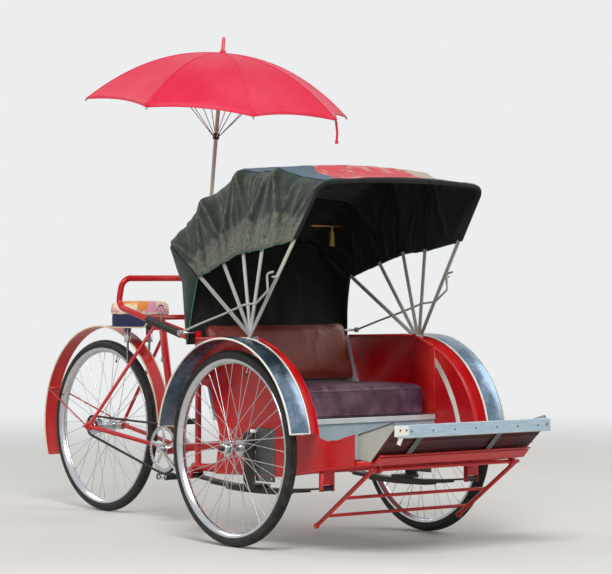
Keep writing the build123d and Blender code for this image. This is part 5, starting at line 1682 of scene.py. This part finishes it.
class RICKSHAW_OT_umbrella(bpy.types.Operator):
    """Open the umbrella: eight sewn panels on ribs and stretchers, pole, runner, ferrule and tie"""
    bl_idname = "rickshaw.umbrella"
    bl_label = "Umbrella"

    def execute(self, context):
        sizes = context.scene.rickshaw_umbrella
        self.canopy(sizes)
        self.frame_parts(sizes)
        return {"FINISHED"}

    def rib(self, sizes, part):
        """Radius and height of a rib at a share of its reach; it bends more towards the tip."""
        return sizes.radius * part, pole_tall - 0.009 - sizes.drop * part ** 2.2

    def canopy(self, sizes):
        rows, per = 22, 12
        columns = sizes.panels * per
        verts, cloth = [], []
        for part in [0.024 + 0.976 * i / rows for i in range(rows + 1)]:
            for j in range(columns):
                share_over = (j % per) / per
                ribs = [math.tau * (j // per + k) / sizes.panels + first_rib for k in (0, 1)]
                inward = 4 * share_over * (1 - share_over)
                radius, level = self.rib(sizes, part * (1 - sizes.scallop * inward * part ** 3))
                slack = 0.0045 * inward * part * (1 - 0.4 * part)
                a, b = [round_pole(radius, angle, level) for angle in ribs]
                point = a.lerp(b, share_over)
                # Tension pulls the panel inside the chord between two ribs, most at mid rib
                point += (round_pole(0, 0, level) - point).normalized() * slack * 1.3
                verts.append(point + pole_up * (0.0062 - slack * 0.7))
                cloth.append((share_over * radius * 0.77, radius))
        piece = cloth_piece(
            "umbrella_cloth", verts, grid(rows + 1, columns, around=True), cloth, ["nylon"], 0.0009,
            lambda spot: pole_up, 80)
        hem = Shape()
        tube(hem, verts[rows * columns:], 0.0017, 6, closed=True)
        for k in range(sizes.panels):
            tube(hem, [v + pole_up * 0.0006 for v in verts[k * per::columns]], 0.0014, 6)
        add_to(piece, hem)
        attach(piece, "carriage")
        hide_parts("umbrella_canopy")
        seams = []
        for k in range(sizes.panels):
            seam = verts[k * per::columns]
            for beside in (verts[(k * per - 1) % columns::columns], verts[k * per + 1::columns]):
                seams.append([a.lerp(b, 0.72) + pole_up * 0.001 for a, b in zip(beside[2:], seam[2:])])
        stitches("umbrella_stitches", seams, "nylon", 0.012)

    def frame_parts(self, sizes):
        """Ribs and stretchers, copied from the first; the pole with runner, crown and ferrule; the strap."""
        one = Shape()
        shares = [0.024 + 0.976 * i / 24 for i in range(25)]
        rib = [round_pole(radius, first_rib, level + 0.0012)
               for radius, level in [self.rib(sizes, part) for part in shares]]
        tube(one, rib, 0.0019, 6)
        along = (rib[-1] - rib[-2]).normalized()
        rod(one, rib[-1] - along * 0.006, along * 0.01, 0.0034)
        radius, level = self.rib(sizes, 0.5)
        runner = pole_tall - 0.33
        stretcher = [round_pole(0.012, first_rib, runner), round_pole(radius, first_rib, level - 0.001)]
        tube(one, stretcher, 0.0017, 6)
        base = bpy.data.meshes.new("rib")
        base.from_pydata([tuple(v) for v in one.verts], [], one.faces)
        piece = grown("umbrella_ribs", ring_tree, {
            "Centre": pole_foot, "Count": sizes.panels, "Axis": pole_up, "Material": finish("steel"),
        }, "carriage", base)
        pole = Shape()

        def sleeve(levels, radius, sides, slot):
            tube(pole, [pole_foot + pole_up * level for level in levels], radius, sides, slot)

        sleeve((0.008, 0.3, 0.6, pole_tall - 0.02), 0.008, 16, 0)
        sleeve((0.12, 0.135, 0.145), [0.012, 0.0125, 0.009], 16, 2)
        for level, size, tall in ((runner, 0.014, 0.024), (pole_tall - 0.012, 0.0155, 0.012)):
            half = tall / 2
            levels = [level + rise for rise in (-half, 0.002 - half, 0.0, half - 0.002, half)]
            sleeve(levels, [size * part for part in (0.8, 1.0, 0.86, 1.0, 0.8)], 20, 2)
        tip = [pole_tall + rise for rise in (-0.006, 0.0, 0.008, 0.012, 0.055, 0.061)]
        sleeve(tip, [0.014, 0.015, 0.0105, 0.0078, 0.0066, 0.003], 16, 1)
        make_piece("umbrella_pole", pole, ["pole", "ferrule", "dark"], "carriage", ["umbrella_frame"])
        tie = Shape()
        radius, level = self.rib(sizes, 0.97)
        first = round_pole(radius, first_rib, level)
        hang = (
            (-0.02, 0.028, 0.006), (-0.018, 0.03, -0.022), (-0.014, 0.031, -0.055), (-0.016, 0.03, -0.085))
        path = [first + Vector(spot) for spot in hang]
        tube(tie, path, 0.0065, 6, flat=0.14)
        rod(tie, path[-1], (0, 0, -0.012), 0.0085, 8, flat=0.3)
        make_piece("umbrella_tie", tie, ["nylon"], "carriage", sharp=60)


class RICKSHAW_OT_hoop(bpy.types.Operator):
    """Fit the push hoop's ribbed grips, brake rod, bell clamp and umbrella clamp"""
    bl_idname = "rickshaw.hoop"
    bl_label = "Push hoop"

    def execute(self, context):
        low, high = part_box("grips")
        grip = Shape()
        radii = [0.0158 if i in (0, 1, 59, 60) else 0.015 + 0.0007 * (i % 2) for i in range(61)]
        for side in (1, -1):
            y = side * (high.y - 0.016)
            a = Vector((high.x - 0.004, y, low.z + 0.0155))
            b = Vector((low.x + 0.004, y, high.z - 0.0155))
            tube(grip, [a.lerp(b, i / 60) for i in range(61)], radii, 16)
        make_piece("hoop_grips", grip, ["rubber"], "carriage", ["grips"], sharp=60)
        brake = Shape()
        top = beside_axle(-0.7, -0.2805, 0.845)
        end = beside_axle(-0.69, -0.2805, 0.655)
        tube(brake, [top, beside_axle(-0.696, -0.2805, 0.7), end], 0.0022)
        turns = [math.tau * i / 20 for i in range(20)]
        ring = [top + Vector((0, 0.0175 * math.cos(turn), 0.0175 * math.sin(turn) + 0.001)) for turn in turns]
        tube(brake, ring, 0.0028, closed=True)
        rod(brake, end + Vector((0, 0, 0.006)), (0, 0, -0.016), 0.0065)
        make_piece("brake_rod", brake, ["steel"], "carriage")
        clamp = Shape()
        for lift in (0.02, 0.085):
            rod(clamp, pole_foot + pole_up * (lift - 0.009), pole_up * 0.018, 0.016, 18)
            spot = pole_foot + pole_up * lift
            rod(clamp, spot + Vector((-0.024, 0, 0)), (0.012, 0, 0), 0.0042, 6, 1)
            slab(clamp, spot + Vector((-0.017, 0, 0)), (0.012, 0.014, 0.014))
        make_piece("umbrella_clamp", clamp, ["enamel", "steel"], "carriage")
        return {"FINISHED"}


class RICKSHAW_OT_stage(bpy.types.Operator):
    """Set the camera at the photograph's angle, the floor and the soft studio light"""
    bl_idname = "rickshaw.stage"
    bl_label = "Stage"

    def execute(self, context):
        stage = context.scene.rickshaw_stage
        lens = bpy.data.cameras.new("camera")
        lens.lens = stage.lens
        lens.sensor_width = 36.0
        lens.shift_x, lens.shift_y = -0.043, -0.018
        camera = placed("camera", lens)
        camera.location = (7.965, -6.132, 0.977)
        camera.rotation_euler = (math.radians(90.0), 0.0, math.radians(90.0 - 39.6))
        context.scene.camera = camera
        # A disc of 400 m radius, just under the wheels
        steps, wide, level = 64, 400, -0.0004
        ring = [round_y(Vector(), wide, 360 * i / steps) for i in range(steps)]
        mesh = bpy.data.meshes.new("floor")
        mesh.from_pydata([(p.x, p.z, level) for p in ring], [], [tuple(range(steps))])
        mesh.materials.append(self.floor_finish())
        placed("floor", mesh)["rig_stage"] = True
        for name, place, size, power in (
            ("key", (4.2, -3.4, 5.2), 3.2, stage.key),
            ("fill", (1.5, 5.5, 3.5), 4.0, stage.fill),
            ("back", (-5.0, -1.5, 4.5), 3.0, stage.fill * 0.8),
        ):
            light = bpy.data.lights.new(name, "AREA")
            light.shape = "DISK"
            light.size, light.energy = size, power
            lamp = placed(name, light)
            lamp.location = place
            aim = Vector((0.0, 0.0, 0.7)) - lamp.location
            lamp.rotation_euler = aim.to_track_quat("-Z", "Y").to_euler()
        self.sky(context.scene, stage.sky)
        context.scene.view_settings.view_transform = "Standard"
        return {"FINISHED"}

    def floor_finish(self):
        """Matt pale floor that fades into the white backdrop a few metres away."""
        made = Coat("matt studio floor", roughness=0.9)
        shade = made.add("Mix", {0: made.cloud(1.5, 3.0, 0.5), 6: "floor", 7: "#E2E0DB"}, **mixed)
        away = made.add("VectorMath", {0: made.place}, out="Value", operation="LENGTH")
        fade = made.add("MapRange", {0: away, 1: 2.5, 2: 9.0}, **smooth)
        seen = made.add("LightPath", out="Is Camera Ray")
        fade = made.add("Math", {0: fade, 1: seen}, **product)
        glow = made.add("Emission", {"Color": "#F4F5F6", "Strength": 0.93})
        both = made.add("MixShader", {0: fade, 1: made.shader.outputs[0], 2: glow})
        made.material.node_tree.links.new(both, made.end.inputs["Surface"])
        return made.done(shade)

    def sky(self, scene, strength):
        """White to the camera and in reflections, a weaker even light on the object."""
        scene.world = bpy.data.worlds.new("studio")
        scene.world.use_nodes = True
        tree = scene.world.node_tree
        tree.nodes.clear()
        add = partial(add_node, tree)
        path = add("LightPath").node.outputs
        seen = path["Is Camera Ray"]
        for kind in ("Is Glossy Ray", "Is Transmission Ray"):
            seen = add("Math", {0: seen, 1: path[kind]}, operation="MAXIMUM")
        power = add("MapRange", {0: seen, 3: strength, 4: 0.93})
        add("OutputWorld", {"Surface": add("Background", {"Color": "#F4F5F6", "Strength": power})})


class RICKSHAW_PT_panel(bpy.types.Panel):
    """Buttons and sizes of the rickshaw"""
    bl_idname = "RICKSHAW_PT_panel"
    bl_label = "Cycle rickshaw"
    bl_space_type = "VIEW_3D"
    bl_region_type = "UI"
    bl_category = "Rickshaw"

    def draw(self, context):
        for maker in makers:
            self.layout.operator(maker.bl_idname)
        for name in groups:
            box = self.layout.box()
            settings = getattr(context.scene, name)
            for prop in settings.bl_rna.properties:
                if prop.identifier not in ("rna_type", "name"):
                    box.prop(settings, prop.identifier)


# In the order that they run
makers = (
    RICKSHAW_OT_stage,
    RICKSHAW_OT_metalwork,
    RICKSHAW_OT_wheels,
    RICKSHAW_OT_guards,
    RICKSHAW_OT_hood,
    RICKSHAW_OT_seat,
    RICKSHAW_OT_body_trim,
    RICKSHAW_OT_saddle,
    RICKSHAW_OT_drive,
    RICKSHAW_OT_umbrella,
    RICKSHAW_OT_hoop,
)
classes = (*groups.values(), *makers, RICKSHAW_PT_panel)


def register():
    for kind in classes:
        bpy.utils.register_class(kind)
    for name, group in groups.items():
        setattr(bpy.types.Scene, name, bpy.props.PointerProperty(type=group))


def unregister():
    for name in groups:
        delattr(bpy.types.Scene, name)
    for kind in reversed(classes):
        bpy.utils.unregister_class(kind)


def corners(box):
    """A box as plain lists of numbers."""
    return [[round(value, 5) for value in corner] for corner in box]


def main():
    register()
    for maker in makers:
        group, name = maker.bl_idname.split(".")
        getattr(getattr(bpy.ops, group), name)()
    {"cad": corners(cad_box), "visual": corners(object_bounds())}


if __name__ == "__main__":
    main()
